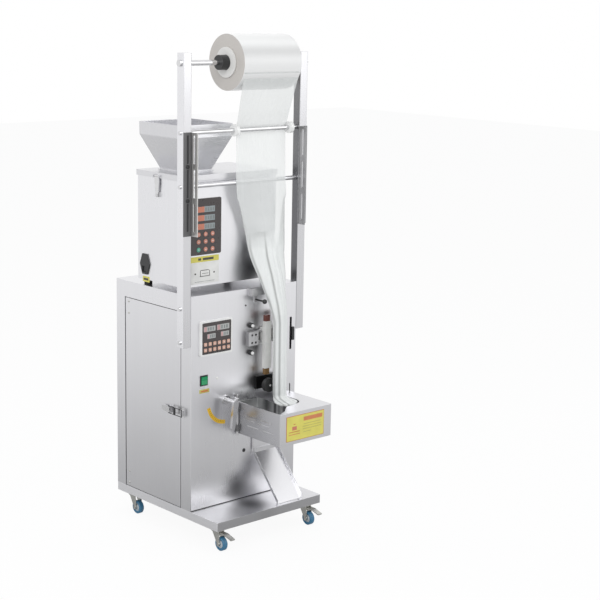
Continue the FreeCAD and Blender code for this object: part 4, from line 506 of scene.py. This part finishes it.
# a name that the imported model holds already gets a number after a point, which is left off here
MATERIALS = {material.name.partition(".")[0]: material for material in (
    # the tones make lighter and darker copies of one steel, as painted light and shade
    brushed_steel("steel_upright"),
    brushed_steel("steel_level", grain="x"),
    brushed_steel("steel_cabinet", 1.1, spots=CABINET_SHADE_SPOTS),
    brushed_steel("steel_side", 1.08, roughness=0.33),
    brushed_steel("steel_deck", 1.02, "x", 0.34, faces=(("y", 0.72), ("x", 1.35)), plane="xy",
                  spots=((-0.015, -0.160, 0.070, 0.090, 0.85),)),
    brushed_steel("steel_post", 0.92, roughness=0.27, faces=(("x", 1.25),), fade=("z", 1.26, 1.53, 0.0, 0)),
    # painted shade on the right post's face towards the left
    brushed_steel("steel_right_post", 0.88, roughness=0.27, shade=("x", RIGHT_POST_FACE + GRAZE, 0.36)),
    brushed_steel("steel_hopper", 1.20, "x", 0.26, faces=(("x", 0.80),)),
    brushed_steel("steel_weigher", 1.12, spots=((0.060, 0.850, 0.100, 0.085, 0.92),)),
    brushed_steel("steel_guard", 1.02, "x", faces=(("x", 0.95),), plane="xy",
                  spots=((-0.042, -0.100, 0.020, 0.185, 0.85),)),
    brushed_steel("steel_guard_top", 1.02, "x"),
    brushed_steel("steel_dark", roughness=0.36, colour=(0.16, 0.16, 0.17)),
    folded_bracket("steel_bracket", (0.16, 0.16, 0.165), (0.42, 0.42, 0.425), (0.76, 0.75, 0.73),
                   CABINET_FRONT - 0.0035),
    collar_with_shade_bands("steel_collar", (0.62, 0.63, 0.63), (0.05, 0.05, 0.055),
                    ((-0.145, 0.035, 0.75), (-0.190, 0.014, 0.9), (-0.2335, 0.008, 0.8),
                     (-0.214, 0.008, 0.35))),
    turned_metal("zinc", (0.58, 0.58, 0.55), 0.3),
    turned_metal("polished", (0.68, 0.68, 0.69), 0.14, 0.04),
    turned_metal("bar_metal", (0.72, 0.71, 0.69), 0.34, 0.1),
    moulded("black_plastic", (0.022, 0.022, 0.024), 0.4),
    moulded("black_rubber", BLACK, 0.62, texture=0.2, scale=600.0),
    moulded("panel_face", (0.045, 0.036, 0.036), 0.3, texture=0.03, Coat_Weight=0.3),
    moulded("bezel", (0.80, 0.80, 0.79), 0.35, texture=0.03),
    moulded("ring_white", (0.90, 0.90, 0.89), 0.26, texture=0.01, scale=300.0, Coat_Weight=0.3),
    moulded("rocker_green", (0.01, 0.30, 0.11), 0.22, texture=0.03, Coat_Weight=0.4),
    moulded("motor_paint", (0.07, 0.08, 0.1), 0.45, texture=0.2, scale=500.0),
    moulded("print_dark", (0.06, 0.055, 0.05), 0.45, texture=0.03),
    *(moulded(name, colour, 0.42, texture=0.04) for name, colour in KEYS.items()),
    *(moulded(name, colour, 0.4, texture=0.03) for name, colour in PRINTS.items()),
    lit_display("display_grey", (0.26, 0.30, 0.31)),
    lit_display("display_pale", (0.40, 0.41, 0.40)),
    lit_display("display_faint", (0.20, 0.22, 0.22)),
    lit_display("display_red", (0.52, 0.17, 0.10), 0.10),
    lit_display("display_rose", (0.50, 0.30, 0.30), 0.05),
    stretched_film("film_clear", (0.84, 0.86, 0.85)),
    wound_film("film_roll", (0.86, 0.86, 0.855), (0.57, 0.54, 0.51), ROLL_AXIS, ROLL_RADIUS),
    two_tone("chuck", (0.80, 0.79, 0.77), (0.02, 0.02, 0.021), (None, *ROLL_AXIS), 0.0235),
    two_tone("pull_wheel", BLACK, (0.6, 0.6, 0.6), (LEFT_WHEEL[0], None, LEFT_WHEEL[2]), 0.0035),
    *(two_tone("tyre_" + place, (0.05, 0.19, 0.33), (0.50, 0.54, 0.57),
               (None, *(sum(corners("wheel_" + place)) / 2)[1:]), 0.0135) for place in CASTERS),
    banded_bar("heater", (0.74, 0.74, 0.72), (0.15, 0.055, 0.045), (0.19, 0.11, 0.04), BAR_HIGH[2] - 0.020,
               BAR_LOW[2] + 0.020, 0.2),
    banded_bar("mechanism", (0.55, 0.55, 0.56), (0.55, 0.55, 0.56), (0.025, 0.025, 0.026), 2.0, 0.512, 0.9),
)}
CAD_FINISH = {
    "steel_upright": ("bucket_flap", "chute", "forming_spout", "weigh_bucket"),
    "steel_level": ("drive_shelf", "feeder_tray", "lower_roller", "rear_panel", "weigher_lid"),
    "steel_cabinet": ("cabinet_shell",), "steel_side": ("side_door",), "steel_deck": ("base_tray",),
    "steel_post": ("left_post",), "steel_right_post": ("right_post",), "steel_hopper": ("hopper",),
    "steel_weigher": ("weigher_case",), "steel_guard": ("seal_guard",), "steel_dark": ("feeder_drive",),
    "steel_bracket": ("slotted_brackets",), "bar_metal": ("front_jaw", "rear_jaw"),
    "zinc": ("caster_plates", "pedal_front_left", "pedal_front_right",
             *("fork_" + place for place in CASTERS)),
    "polished": ("cam_shaft", "hinge_fittings", "door_latch_lever", "film_shaft", "guard_hinge", "hand_crank",
                 "jaw_rods", "lid_latch", "post_bolts", "upper_roller"),
    "black_plastic": ("door_latch_loop", "panel_fittings", "power_inlet"),
    "black_rubber": ("pull_wheel_right", "rubber_feet"), "pull_wheel": ("pull_wheel_left",),
    "bezel": ("controller_case",), "panel_face": ("weigher_panel",), "key_salmon": ("keypads",),
    "rocker_green": ("power_rocker",), "motor_paint": ("drive_motor",), "ring_white": ("guide_rings",),
    "film_roll": ("film_roll",), "film_clear": ("film_web",), "chuck": ("roll_chucks",),
    "heater": ("seal_bar_left", "seal_bar_right"), "mechanism": ("mechanism_brackets",),
    **{"tyre_" + place: ("wheel_" + place,) for place in CASTERS},
}


def finish(piece, material):
    """Give a piece one material."""
    piece.data.materials.clear()
    piece.data.materials.append(MATERIALS[material])
    return piece


def dress_packed_nodes():
    """Put this script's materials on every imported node."""
    for material, names in CAD_FINISH.items():
        for name in names:
            node = nodes[name]
            if not node.material_slots:
                node.data.materials.append(MATERIALS[material])
            for holder in node.material_slots:
                holder.material = MATERIALS[material]


# Studio


def make_camera():
    """Camera of the photograph, with place, aim and focal length fitted to its straight edges."""
    yaw, pitch, roll = (math.radians(angle) for angle in (42.3203, -11.5250, 1.06315))
    sensor, focal_pixels, picture_pixels = 36, 1463.956, 600
    ahead = np.array((math.sin(yaw) * math.cos(pitch), math.cos(yaw) * math.cos(pitch), math.sin(pitch)))
    level = np.array((math.cos(yaw), -math.sin(yaw), 0))
    upright = np.cross(level, ahead)
    right = math.cos(roll) * level + math.sin(roll) * upright
    above = -math.sin(roll) * level + math.cos(roll) * upright
    lens = bpy.data.cameras.new("photo_camera")
    lens.sensor_width = sensor
    lens.lens = sensor * focal_pixels / picture_pixels
    lens.clip_end = 60
    camera = bpy.data.objects.new("photo_camera", lens)
    turn = Matrix(np.column_stack([right, above, -ahead]).tolist()).to_4x4()
    turn.translation = (-2.9605, -3.6044, 1.7048)
    camera.matrix_world = turn
    bpy.context.scene.collection.objects.link(camera)
    bpy.context.scene.camera = camera


def seen_rays(tree):
    """1 for camera, glossy and transmission rays, and 0 for the rays that light the object."""
    path = tree.nodes.new("ShaderNodeLightPath")
    either = tree.nodes.new("ShaderNodeMath")
    either.operation = "MAXIMUM"
    tree.links.new(path.outputs["Is Camera Ray"], either.inputs[0])
    tree.links.new(path.outputs["Is Transmission Ray"], either.inputs[1])
    seen = tree.nodes.new("ShaderNodeMath")
    seen.operation = "MAXIMUM"
    tree.links.new(either.outputs[0], seen.inputs[0])
    tree.links.new(path.outputs["Is Glossy Ray"], seen.inputs[1])
    return seen.outputs[0]


def make_world():
    """White surroundings that light the object softly."""
    world = bpy.data.worlds.new("studio")
    bpy.context.scene.world = world
    world.use_nodes = True
    tree = world.node_tree
    tree.nodes.clear()
    light, white = (tree.nodes.new("ShaderNodeBackground") for _ in range(2))
    light.inputs["Color"].default_value = (0.97, 0.985, 1, 1)
    light.inputs["Strength"].default_value = 0.62
    white.inputs["Color"].default_value = (1, 1, 1, 1)
    white.inputs["Strength"].default_value = 1.0
    mix = tree.nodes.new("ShaderNodeMixShader")
    output = tree.nodes.new("ShaderNodeOutputWorld")
    tree.links.new(seen_rays(tree), mix.inputs[0])
    tree.links.new(light.outputs[0], mix.inputs[1])
    tree.links.new(white.outputs[0], mix.inputs[2])
    tree.links.new(mix.outputs[0], output.inputs["Surface"])


def make_floor():
    """Pale floor that keeps the object's shadow. The camera sees it white, and polished sheets see
    it with painted shade, grey near the object and white further off, as under a soft studio light."""
    half = 14.0
    flat = [[(-half, -half, 0), (half, -half, 0)], [(-half, half, 0), (half, half, 0)]]
    floor = surface("floor", flat)
    material = bpy.data.materials.new("floor_white")
    material.use_nodes = True
    tree = material.node_tree
    nodes_of, wire = tree.nodes.new, tree.links.new
    shader = tree.nodes["Principled BSDF"]
    shader.inputs["Base Color"].default_value = (0.93, 0.93, 0.93, 1)
    shader.inputs["Roughness"].default_value = 0.9
    shader.inputs["Specular IOR Level"].default_value = 0.1
    place = nodes_of("ShaderNodeTexCoord")
    reach = nodes_of("ShaderNodeVectorMath")
    reach.operation = "LENGTH"
    # painted shade: the floor's glow falls from white far off to grey near the machine
    fade = nodes_of("ShaderNodeMapRange")
    for socket, number in zip(("From Min", "From Max", "To Min", "To Max"), (0.35, 3.6, SHADED_NEAR_FLOOR, 1.0)):
        fade.inputs[socket].default_value = number
    wire(place.outputs["Object"], reach.inputs[0])
    wire(reach.outputs["Value"], fade.inputs["Value"])
    path = nodes_of("ShaderNodeLightPath")
    level = nodes_of("ShaderNodeMix")
    level.inputs[3].default_value = 1.0
    wire(path.outputs["Is Camera Ray"], level.inputs[0])
    wire(fade.outputs["Result"], level.inputs[2])
    glow = nodes_of("ShaderNodeEmission")
    wire(level.outputs[0], glow.inputs["Strength"])
    mix = nodes_of("ShaderNodeMixShader")
    share = nodes_of("ShaderNodeMath")
    share.operation = "MULTIPLY"
    share.inputs[1].default_value = 0.93
    wire(seen_rays(tree), share.inputs[0])
    wire(share.outputs[0], mix.inputs[0])
    wire(shader.outputs[0], mix.inputs[1])
    wire(glow.outputs[0], mix.inputs[2])
    wire(mix.outputs[0], tree.nodes["Material Output"].inputs["Surface"])
    floor.data.materials.append(material)


def soft_light(name, place, aim, size, power):
    """Square soft box at a place, turned to face a point."""
    lamp = bpy.data.lights.new(name, "AREA")
    lamp.size = size
    lamp.energy = power
    box = bpy.data.objects.new(name, lamp)
    ahead = np.array(aim, float) - np.array(place, float)
    ahead /= np.linalg.norm(ahead)
    side = np.cross(ahead, (0, 0, 1.0))
    side /= np.linalg.norm(side)
    turn = Matrix(np.column_stack([side, np.cross(side, ahead), -ahead]).tolist()).to_4x4()
    turn.translation = place
    box.matrix_world = turn
    bpy.context.scene.collection.objects.link(box)


def make_studio():
    make_camera()
    make_world()
    make_floor()
    bpy.context.scene.view_settings.view_transform = "Standard"
    soft_light("key_light", (-3.2, -2.2, 3.4), (0, 0, 0.8), 2.6, 70)
    soft_light("fill_light", (2.8, -3.6, 2.4), (0, 0, 0.8), 2.6, 26)
    soft_light("top_light", (0.2, 0.6, 4.2), (0, 0, 0.8), 2.2, 30)


# Film


def oval_strip(centre, half_width, half_depth, width, overlap, columns):
    """Points of a strip of fixed width laid round a level oval, front first. The oval's angle is
    stepped finely, its running length is summed, and the points are read off at even lengths. Where
    the strip is longer than the oval it goes on as a spiral, so that it never meets itself."""
    angle = np.linspace(-math.pi * 1.95, math.pi * 1.95, 2400)
    spiral = 1 - overlap * angle / math.pi
    x = half_width * np.sin(angle) * spiral
    y = -half_depth * np.cos(angle) * spiral
    run = np.concatenate([[0], np.cumsum(np.hypot(np.diff(x), np.diff(y)))])
    run -= np.interp(0, angle, run)
    found = np.interp(np.linspace(-width / 2, width / 2, columns), run, angle)
    turned = 1 - overlap * found / math.pi
    return np.stack([centre[0] + half_width * np.sin(found) * turned,
                     centre[1] - half_depth * np.cos(found) * turned,
                     np.full(columns, centre[2])], -1)


def make_film():
    """The whole film as one sheet. It slants back from the roll, runs behind the upper roller and
    in front of the lower one, bows round the spout's mouth and closes on its neck and tube."""
    columns = 161
    middle_y, upper_z = (sum(corners("upper_roller")) / 2)[1:]
    lower_z = (sum(corners("lower_roller")) / 2)[2]
    foot = corners("film_web")[0][2] + 0.0004
    spout_low, spout_high = corners("forming_spout")
    guard_top = corners("seal_guard")[1][2]
    tube_x = (spout_low + spout_high)[0] / 2
    front = corners("film_web")[0][1]
    width, roller, web_x, drift = 0.206, 0.0078, 0.077, 0.010
    roll_z, roll_radius, leaves_at = ROLL_AXIS[1], ROLL_RADIUS + 0.0006, 0.32
    rows = []

    def flat_row(y, z, x, spread=1.0):
        across = np.linspace(-0.5, 0.5, columns) * width * spread
        rows.append(np.stack([x + across, np.full(columns, y), np.full(columns, z)], -1))

    leave = (middle_y - roll_radius * math.cos(leaves_at), roll_z - roll_radius * math.sin(leaves_at))
    for share in np.linspace(0, 1, 26):
        y = leave[0] + (middle_y + roller - leave[0]) * share
        z = leave[1] + (upper_z + 0.003 - leave[1]) * share
        flat_row(y, z, web_x - 0.034 * (1 - share), 1.10 - 0.10 * share)
    for angle in np.linspace(0.1, -0.1, 4):
        flat_row(middle_y + roller * math.cos(angle), upper_z + roller * math.sin(angle) * 0.5, web_x)
    for share in np.linspace(0.04, 1, 22):
        y = middle_y + roller - 2 * roller * share
        flat_row(y, upper_z - 0.003 - (upper_z - lower_z - 0.003) * share, web_x - drift * share)
    # level, middle across, front, half width, half depth and overlap of the gathered film
    levels = np.array([
        (lower_z, web_x - drift, middle_y - roller, 0.1250, 0.0008, 0),
        (1.075, web_x - 0.001, -0.0880, 0.0955, 0.0060, 0),
        (1.030, tube_x - 0.006, -0.0920, 0.0893, 0.0160, 0),
        (0.985, tube_x + 0.001, -0.0985, 0.0824, 0.0235, 0),
        (0.930, tube_x, -0.1110, 0.0751, 0.0260, 0),
        (0.905, tube_x - 0.004, -0.1200, 0.0698, 0.0260, 0),
        (0.880, tube_x - 0.005, -0.1300, 0.0640, 0.0260, 0.01),
        (0.845, tube_x - 0.004, -0.1430, 0.0557, 0.0255, 0.02),
        (0.790, tube_x - 0.004, -0.1600, 0.0406, 0.0245, 0.02),
        (0.750, tube_x - 0.004, -0.1735, 0.0326, 0.0225, 0.02),
        (0.720, tube_x - 0.005, front - 0.0004, 0.0275, 0.0200, 0.02),
        (0.690, tube_x - 0.002, front - 0.0004, 0.0258, 0.0197, 0.02),
        (0.550, tube_x - 0.001, front - 0.0004, 0.0255, 0.0197, 0.02),
        (guard_top + 0.016, tube_x, front - 0.0004, 0.0245, 0.0197, 0.02),
        (guard_top + 0.0085, tube_x - 0.001, front - 0.0080, 0.0250, 0.0225, 0.01),
        (guard_top + 0.0045, tube_x - 0.003, front - 0.0260, 0.0320, 0.0280, 0),
        (guard_top + 0.0010, tube_x - 0.005, front - 0.0510, 0.0400, 0.0340, 0),
        (guard_top - 0.0040, tube_x - 0.005, front - 0.0530, 0.0395, 0.0345, 0),
        (foot, tube_x - 0.003, front - 0.0500, 0.0380, 0.0300, 0),
    ])
    stops = ((lower_z, 0.69, 90), (0.69, guard_top + 0.018, 36), (guard_top + 0.018, guard_top - 0.006, 34),
             (guard_top - 0.006, foot, 8))
    z_steps = np.concatenate([np.linspace(*stop)[1:] for stop in stops])
    order = np.argsort(levels[:, 0])
    values = [np.interp(z_steps, levels[order, 0], levels[order, column]) for column in range(1, 6)]
    for z, x, front_y, half_width, half_depth, overlap in zip(z_steps, *values):
        centre = (x, front_y + half_depth, z)
        rows.append(oval_strip(centre, half_width, half_depth, width, overlap, columns))
    grid = np.array(rows)
    first = len(rows) - len(z_steps)
    # folds run down the gathered part: each is a trough, its depth a bell round a place on the strip
    t = np.linspace(-1, 1, columns)[None, :]
    z = grid[first:, :, 2]
    closed = np.clip((0.96 - z) / 0.14, 0, 1)
    troughs = sum(depth * np.exp(-((t - at) / wide) ** 2)
                  for at, wide, depth in ((-0.17, 0.035, 0.0022), (0.05, 0.022, 0.0012),
                                          (-0.42, 0.05, 0.0016), (0.30, 0.05, 0.0014)))
    swell = sum(height * np.exp(-((t - at) / wide) ** 2)
                for at, wide, height in ((-0.235, 0.035, 0.0012), (-0.06, 0.035, 0.0014)))
    loose = np.clip((z - 0.72) / 0.1, 0, 1)
    ripple = 0.0008 * np.sin(t * 17 + z * 21) * loose + 0.0002 * np.sin(t * 29 - z * 33)
    push = (swell - troughs * (0.8 + 0.9 * loose) + ripple) * closed
    x_out = grid[first:, :, 0] - tube_x
    y_out = grid[first:, :, 1] - (np.array(values[1]) + np.array(values[3]))[:, None]
    reach = np.maximum(np.hypot(x_out, y_out), 1e-6)
    single = np.clip((0.55 - np.abs(t)) / 0.12, 0, 1)
    grid[first:, :, 0] += x_out / reach * push * single
    grid[first:, :, 1] += y_out / reach * push * single
    film = joined("film", [finish(surface("film", grid), "film_clear")])
    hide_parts("film_web")


# Pieces on the panels and the guard


def tile(place, size, radius, edge, material, crown=0.0):
    """Small plate on a face towards the user."""
    return finish(slab("tile", place, "y", size, radius, edge, crown), material)


def make_weigher_panel():
    """Three displays on the weigher's dark panel, each with a lit part at its left."""
    low, high = corners("weigher_panel")
    face_y, right = low[1], high[0] - 0.0265
    first_drop, pitch, wide, digits_wide = 0.0346, 0.027, 0.077, 0.042
    lit_wide = wide - digits_wide
    parts = []
    for row in range(3):
        z = high[2] - first_drop - pitch * row
        window_at = (right - wide / 2, face_y, z)
        parts.append(tile(window_at, (wide, 0.0185, 0.0012), 0.001, 0.0005, "display_grey"))
        lit_at = (right - wide + lit_wide / 2, face_y - 0.0009, z)
        parts.append(tile(lit_at, (lit_wide, 0.018, 0.0006), 0.001, 0.0005, "display_red"))
        for share in (0.14, 0.38, 0.62, 0.86):
            digit_at = (right - digits_wide + digits_wide * share, face_y - 0.0011, z)
            parts.append(tile(digit_at, (0.0055, 0.011, 0.0003), 0.0008, 0.0001, "display_faint"))
    joined("weigher_displays", parts)


def key_cap(x, face_y, z, side, radius, crown, material, mark_size, mark_radius):
    """Crowned cap with a plain pale mark."""
    cap_depth, mark_depth = 0.0016, 0.0004
    cap = tile((x, face_y, z), (side, side, cap_depth), radius, 0.0007, material, crown)
    mark_y = face_y - cap_depth - (crown - 0.0002)
    mark = tile((x, mark_y, z), (*mark_size, mark_depth), mark_radius, 0.0002, "print_white")
    return [cap, mark]


def make_keys():
    """Round and square keys, each a crowned cap with a plain mark, in place of the plain ones."""
    low, high = corners("weigher_panel")
    round_side, round_pitch, square_side = 0.0145, 0.0278, 0.0115
    square_pitch_x, square_pitch_z = 0.0186, 0.0185
    caps = []
    for column in range(3):
        for row, drop in enumerate((0.161, 0.136, 0.113)):
            x = high[0] - 0.035 - round_pitch * (2 - column)
            colour = "key_green" if (column, row) == (0, 0) else "key_salmon"
            z = high[2] - drop
            caps += key_cap(x, low[1], z, round_side, 0.0072, 0.0003, colour, (0.006, 0.0016), 0.0006)
    left, top, key_y = controller_corner()
    for column in range(6):
        for row in range(2):
            x, z = left + 0.0133 + square_pitch_x * column, top - 0.069 - square_pitch_z * row
            caps += key_cap(x, key_y, z, square_side, 0.0022, 0.0002, "key_pale", (0.0055, 0.0014), 0.0005)
    keys = joined("key_caps", caps)
    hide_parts("keypads")


def controller_corner():
    """Left edge and top of the controller's dark face, and the level of its front."""
    low, high = corners("controller_case")
    middle = (low + high) / 2
    return middle[0] - FACE_WIDE / 2, middle[2] + FACE_TALL / 2, low[1] + 0.001


def make_controller_face():
    """Dark face in the controller's pale bezel, with four windows. Each window is given by its
    middle from the face's left and top, and its size."""
    left, top, face_y = controller_corner()
    face_at = (left + FACE_WIDE / 2, face_y + 0.0004, top - FACE_TALL / 2)
    parts = [tile(face_at, (FACE_WIDE, FACE_TALL, 0.0005), 0.004, 0.0002, "panel_face")]
    windows = ((0.0295, 0.0200, 0.047, 0.0165), (0.0840, 0.0195, 0.050, 0.0175),
               (0.0370, 0.0440, 0.033, 0.0150), (0.0915, 0.0426, 0.033, 0.0150))
    for from_left, drop, wide, tall in windows:
        x, z = left + from_left, top - drop
        parts.append(tile((x, face_y, z), (wide, tall, 0.0009), 0.001, 0.0003, "display_pale"))
        lit_size = (wide * 0.22, tall * 0.9, 0.0005)
        parts.append(tile((x - wide * 0.36, face_y - 0.0006, z), lit_size, 0.0006, 0.0002, "display_rose"))
        for share in (-0.1, 0.1, 0.3):
            digit_size = (wide * 0.11, tall * 0.62, 0.0003)
            digit_at = (x + wide * share, face_y - 0.0008, z)
            parts.append(tile(digit_at, digit_size, 0.0005, 0.0001, "display_faint"))
    joined("controller_face", parts)


def plate_label(name, centre, width, height, bars, axis="y", body="frame", plate="label_yellow",
                edge="label_yellow", border=0.004):
    """Plain plate with an edge, and bars where the real one has its print. Each bar is given by its
    middle and size as shares of the plate."""
    across, _, along = basis(axis)
    edge_depth, plate_depth, bar_depth = 0.0006, 0.0003, 0.0002
    front = np.array(centre) - edge_depth * along
    size = (width - border, height - border, plate_depth)
    parts = [finish(slab("edge", centre, axis, (width, height, edge_depth), 0.002, 0.0002), edge),
             finish(slab("plate", front, axis, size, 0.0015, 0.0001), plate)]
    for x, z, wide, high, colour in bars:
        place = front - plate_depth * along + across * x * width + np.array((0, 0, z * height))
        bar = slab("bar", place, axis, (wide * width, high * height, bar_depth), 0.0004, 0.0001)
        parts.append(finish(bar, colour))
    joined(name, parts, body)


def make_labels():
    """Plates and strips, with plain bars in place of their words and pictures."""
    guard_front = corners("seal_guard")[0][1]
    left, right, line = -0.29, 0.18, 0.025
    bars = [(0.20, 0.30, 0.50, 0.16, "label_red"), (right, 0.10, 0.46, line, "label_olive"),
            (right, 0.0, 0.50, line, "label_olive"), (right, -0.10, 0.50, line, "label_olive"),
            (0.05, -0.22, 0.20, line, "label_olive"), (left, -0.24, 0.30, 0.03, "label_red"),
            (left, 0.16, 0.05, 0.03, "label_edge"), (left, 0.0, 0.12, 0.15, "display_red"),
            (left, -0.14, 0.28, 0.03, "label_edge")]
    plate_label("guard_plate", (0.0755, guard_front, 0.383), 0.161, 0.082, bars, body="guard",
                edge="label_edge", border=0.003)
    panel_low, panel_high = corners("weigher_panel")
    side_x, case_y = corners("weigher_case")[0][:2]
    x, top = panel_high[0] - 0.0637, panel_low[2] - 0.005
    bars = [(-0.18, 0, 0.10, 0.4, "print_dark"), (0.12, 0, 0.38, 0.42, "print_dark")]
    plate_label("panel_strip", (x, case_y, top - 0.009), 0.114, 0.018, bars)
    bars = [(0, 0.12, 0.28, 0.03, "print_dark"), (0, -0.16, 0.34, 0.03, "print_dark"),
            (-0.15, -0.02, 0.02, 0.28, "print_dark"), (0.17, -0.02, 0.02, 0.26, "print_dark"),
            (0.02, -0.03, 0.22, 0.02, "print_dark"), (-0.33, -0.02, 0.05, 0.07, "print_dark"),
            (0.33, -0.02, 0.05, 0.07, "print_dark"), (0, -0.40, 0.7, 0.015, "display_faint")]
    plate_label("panel_plate", (x, case_y, top - 0.053), 0.114, 0.068, bars, plate="label_pale",
                edge="label_pale")
    x = (sum(corners("power_rocker")) / 2)[0] + 0.002
    plate_label("switch_strip", (x, CABINET_FRONT, 0.4925), 0.040, 0.0125, [(0, 0, 0.7, 0.4, "label_edge")],
                plate="label_olive", edge="label_olive")
    inlet_low, inlet_high = corners("power_inlet")
    place = (side_x, (inlet_low + inlet_high)[1] / 2 - 0.004, inlet_low[2] - 0.016)
    plate_label("inlet_strip", place, 0.036, 0.018, [(0, 0, 0.7, 0.4, "print_dark")], axis="x")


def make_crank_scale():
    """Printed arc behind the crank: a band between two radii, with plain ticks along it."""
    centre = np.array((-0.078, CABINET_FRONT, 0.449))
    start, sweep, ticks = math.radians(193), math.radians(75), 12
    angle = np.linspace(start, start + sweep, 40)
    radii = np.array((0.0655, 0.066, 0.078, 0.0785))
    depth = np.array((0, 0.0006, 0.0006, 0))
    grid = np.stack([centre[0] + radii[:, None] * np.cos(angle),
                     np.repeat((centre[1] - depth)[:, None], len(angle), 1),
                     centre[2] + radii[:, None] * np.sin(angle)], -1)
    parts = [finish(surface("band", grid), "arc_yellow")]
    tick_radii, half_tick, tick_lift = (0.0685, 0.0745), 0.0006, np.array((0, 0.0008, 0))
    for a in start + sweep * np.linspace(0.06, 0.94, ticks):
        out = np.array((math.cos(a), 0, math.sin(a)))
        side = np.array((-math.sin(a), 0, math.cos(a))) * half_tick
        tick = [[centre + out * reach - side, centre + out * reach + side] for reach in tick_radii]
        parts.append(finish(surface("tick", np.array(tick) - tick_lift), "print_dark"))
    joined("crank_scale", parts)


def turned(centre, profile, material, axis="y", steps=28):
    """Turned form that stands out towards the user, or to the left, from a face."""
    outward = [(radius, -reach) for radius, reach in profile]
    return finish(lathe("turned", centre, axis, outward, steps), material)


def screw(centre, radius, material, axis="y", height=0.0018):
    """Low round screw head with a rounded rim and a sunk middle."""
    shares = [(0, 0), (1, 0), (1, 0.4), (0.85, 0.85), (0.55, 1), (0.3, 1), (0.25, 0.45), (0, 0.4)]
    profile = [(radius * out, height * up) for out, up in shares]
    return turned(centre, profile, material, axis, 20)


def make_screws():
    """Small screws on the front, the rivets of the door's hinges and the pins of the block."""
    left, front = corners("cabinet_shell")[0][:2]
    heads = [screw((left + 0.221, front, 0.748), 0.003, "black_plastic"),
             screw((left + 0.397, front, 0.352), 0.003, "zinc")]
    heads += [screw((left, front + 0.330, z), 0.0035, "zinc", "x") for z in (0.735, 0.697, 0.156, 0.117)]
    heads += [screw((left + 0.220, front, 0.265), 0.0065, "black_plastic", height=0.001),
              screw((left + 0.106, front, 0.526), 0.004, "print_white", height=0.003)]
    pin_y = front - 0.015
    heads += [screw((x, pin_y, z), 0.0037, "black_plastic", height=0.002)
              for x in (0.0156, 0.0308) for z in (0.6252, 0.6505)]
    joined("panel_screws", heads)


def make_block_studs():
    """Two dark round studs with pale domed caps, above and below the block with the pins."""
    base = [(0, 0), (0.0085, 0), (0.0085, 0.010), (0.0078, 0.012), (0, 0.012)]
    cap = [(0, 0.012), (0.0055, 0.012), (0.0056, 0.014), (0.0048, 0.0165), (0.003, 0.018), (0, 0.0186)]
    parts = [turned((0.021, CABINET_FRONT, z), profile, material) for z in (0.6805, 0.5905)
             for profile, material in ((base, "black_plastic"), (cap, "bezel"))]
    joined("block_studs", parts)


def make_clamp_lever():
    """Black ball knob and rod on the spout's clamp, drawn over the plain ones."""
    place = (0.041, CABINET_FRONT, 0.763)
    ball_radius, ball_reach = 0.0078, 0.047
    rod = [(0, 0), (0.0030, 0), (0.0028, 0.020), (0.0034, 0.038), (0, 0.040)]
    ball = [(ball_radius * math.sin(a), ball_reach - ball_radius * math.cos(a))
            for a in np.linspace(0.35, math.pi, 14)]
    parts = [turned(place, profile, "black_plastic") for profile in (rod, [(0, ball[0][1])] + ball)]
    joined("clamp_lever", parts)


def make_bracket_fittings():
    """Black strips of painted shade that close the slots of the left bracket's flat leg, and the bolts
    between.
    """
    low, high = corners("slotted_brackets")
    middle_x, face_y = low[0] + 0.016, high[1] - 0.002
    first, pitch = low[2] + 0.058, 0.104
    # painted shade: black strips where the slots are in shade
    parts = [tile((middle_x, face_y + 0.0012, first + pitch * row), (0.0066, 0.087, 0.0006), 0.0033, 0.0002,
                  "black_plastic") for row in range(3)]
    parts += [screw((middle_x, face_y, first + pitch * (row - 0.5)), 0.0068, "black_plastic", height=0.003)
              for row in (1, 2)]
    joined("slot_shade_strips", parts)


def make_foot_seam():
    """Thin dark seam where the cabinet's front stands on the tray."""
    low, high = corners("cabinet_shell")
    deck, tall = corners("base_tray")[1][2], 0.0024
    size = (high[0] - low[0] - 0.002, tall, 0.0004)
    seam = tile((0, low[1], deck + 0.0014), size, 0.0002, 0.0001, "black_plastic")
    joined("foot_seam", [seam])


def wall_between(name, first, second, low, high):
    """Solid strip between two level curves, from one height to another, closed at both ends."""
    first, second = np.array(first, float), np.array(second, float)
    rows = []
    for a, b in zip(first, second):
        rows.append([(*a, low), (*a, high), (*b, high), (*b, low)])
    rows = np.array(rows)
    ends = [np.repeat(rows[end].mean(0)[None], 4, 0)[None] for end in (0, -1)]
    return surface(name, np.vstack([ends[0], rows, ends[1]]), closed=True)


def make_guard_collar():
    """Bent sheet that hangs round the film's opening in the guard, and the lip in front of it."""
    low, high = corners("seal_guard")
    back, leg, half_sheet = CABINET_FRONT - 0.0035, 0.054, 0.0006
    bends = [(low[0] + 0.010, back), (leg - 0.012, back), (leg, back - 0.002), (leg, back - 0.014),
             (leg - 0.001, back - 0.060), (leg - 0.004, back - 0.092), (leg - 0.011, back - 0.116),
             (leg - 0.009, back - 0.132), (leg + 0.004, back - 0.143), (leg + 0.028, back - 0.1455)]
    path = smooth_path(bends, 90)
    ahead = np.gradient(path, axis=0)
    ahead /= np.linalg.norm(ahead, axis=1)[:, None]
    out = np.stack([ahead[:, 1], -ahead[:, 0]], -1) * half_sheet
    wall = wall_between("collar", path + out, path - out, high[2] - 0.0368, high[2] - 0.0004)
    inner = [(0.094, -0.2356), (0.074, -0.2412), (0.054, -0.2395), (0.036, -0.256), (0.011, -0.2795)]
    outer = [(0.096, -0.2370), (0.076, -0.2480), (0.054, -0.2590), (0.034, -0.2700), (0.010, -0.2830)]
    lip = wall_between("lip", smooth_path(inner), smooth_path(outer), high[2] - 0.0013, high[2] - 0.0001)
    parts = [finish(wall, "steel_collar"), finish(lip, "steel_guard_top")]
    joined("guard_collar", parts, "guard")


dress_packed_nodes()
make_studio()
make_film()
make_weigher_panel()
make_keys()
make_controller_face()
make_crank_scale()
make_labels()
make_screws()
make_block_studs()
make_clamp_lever()
make_bracket_fittings()
make_guard_collar()
make_foot_seam()
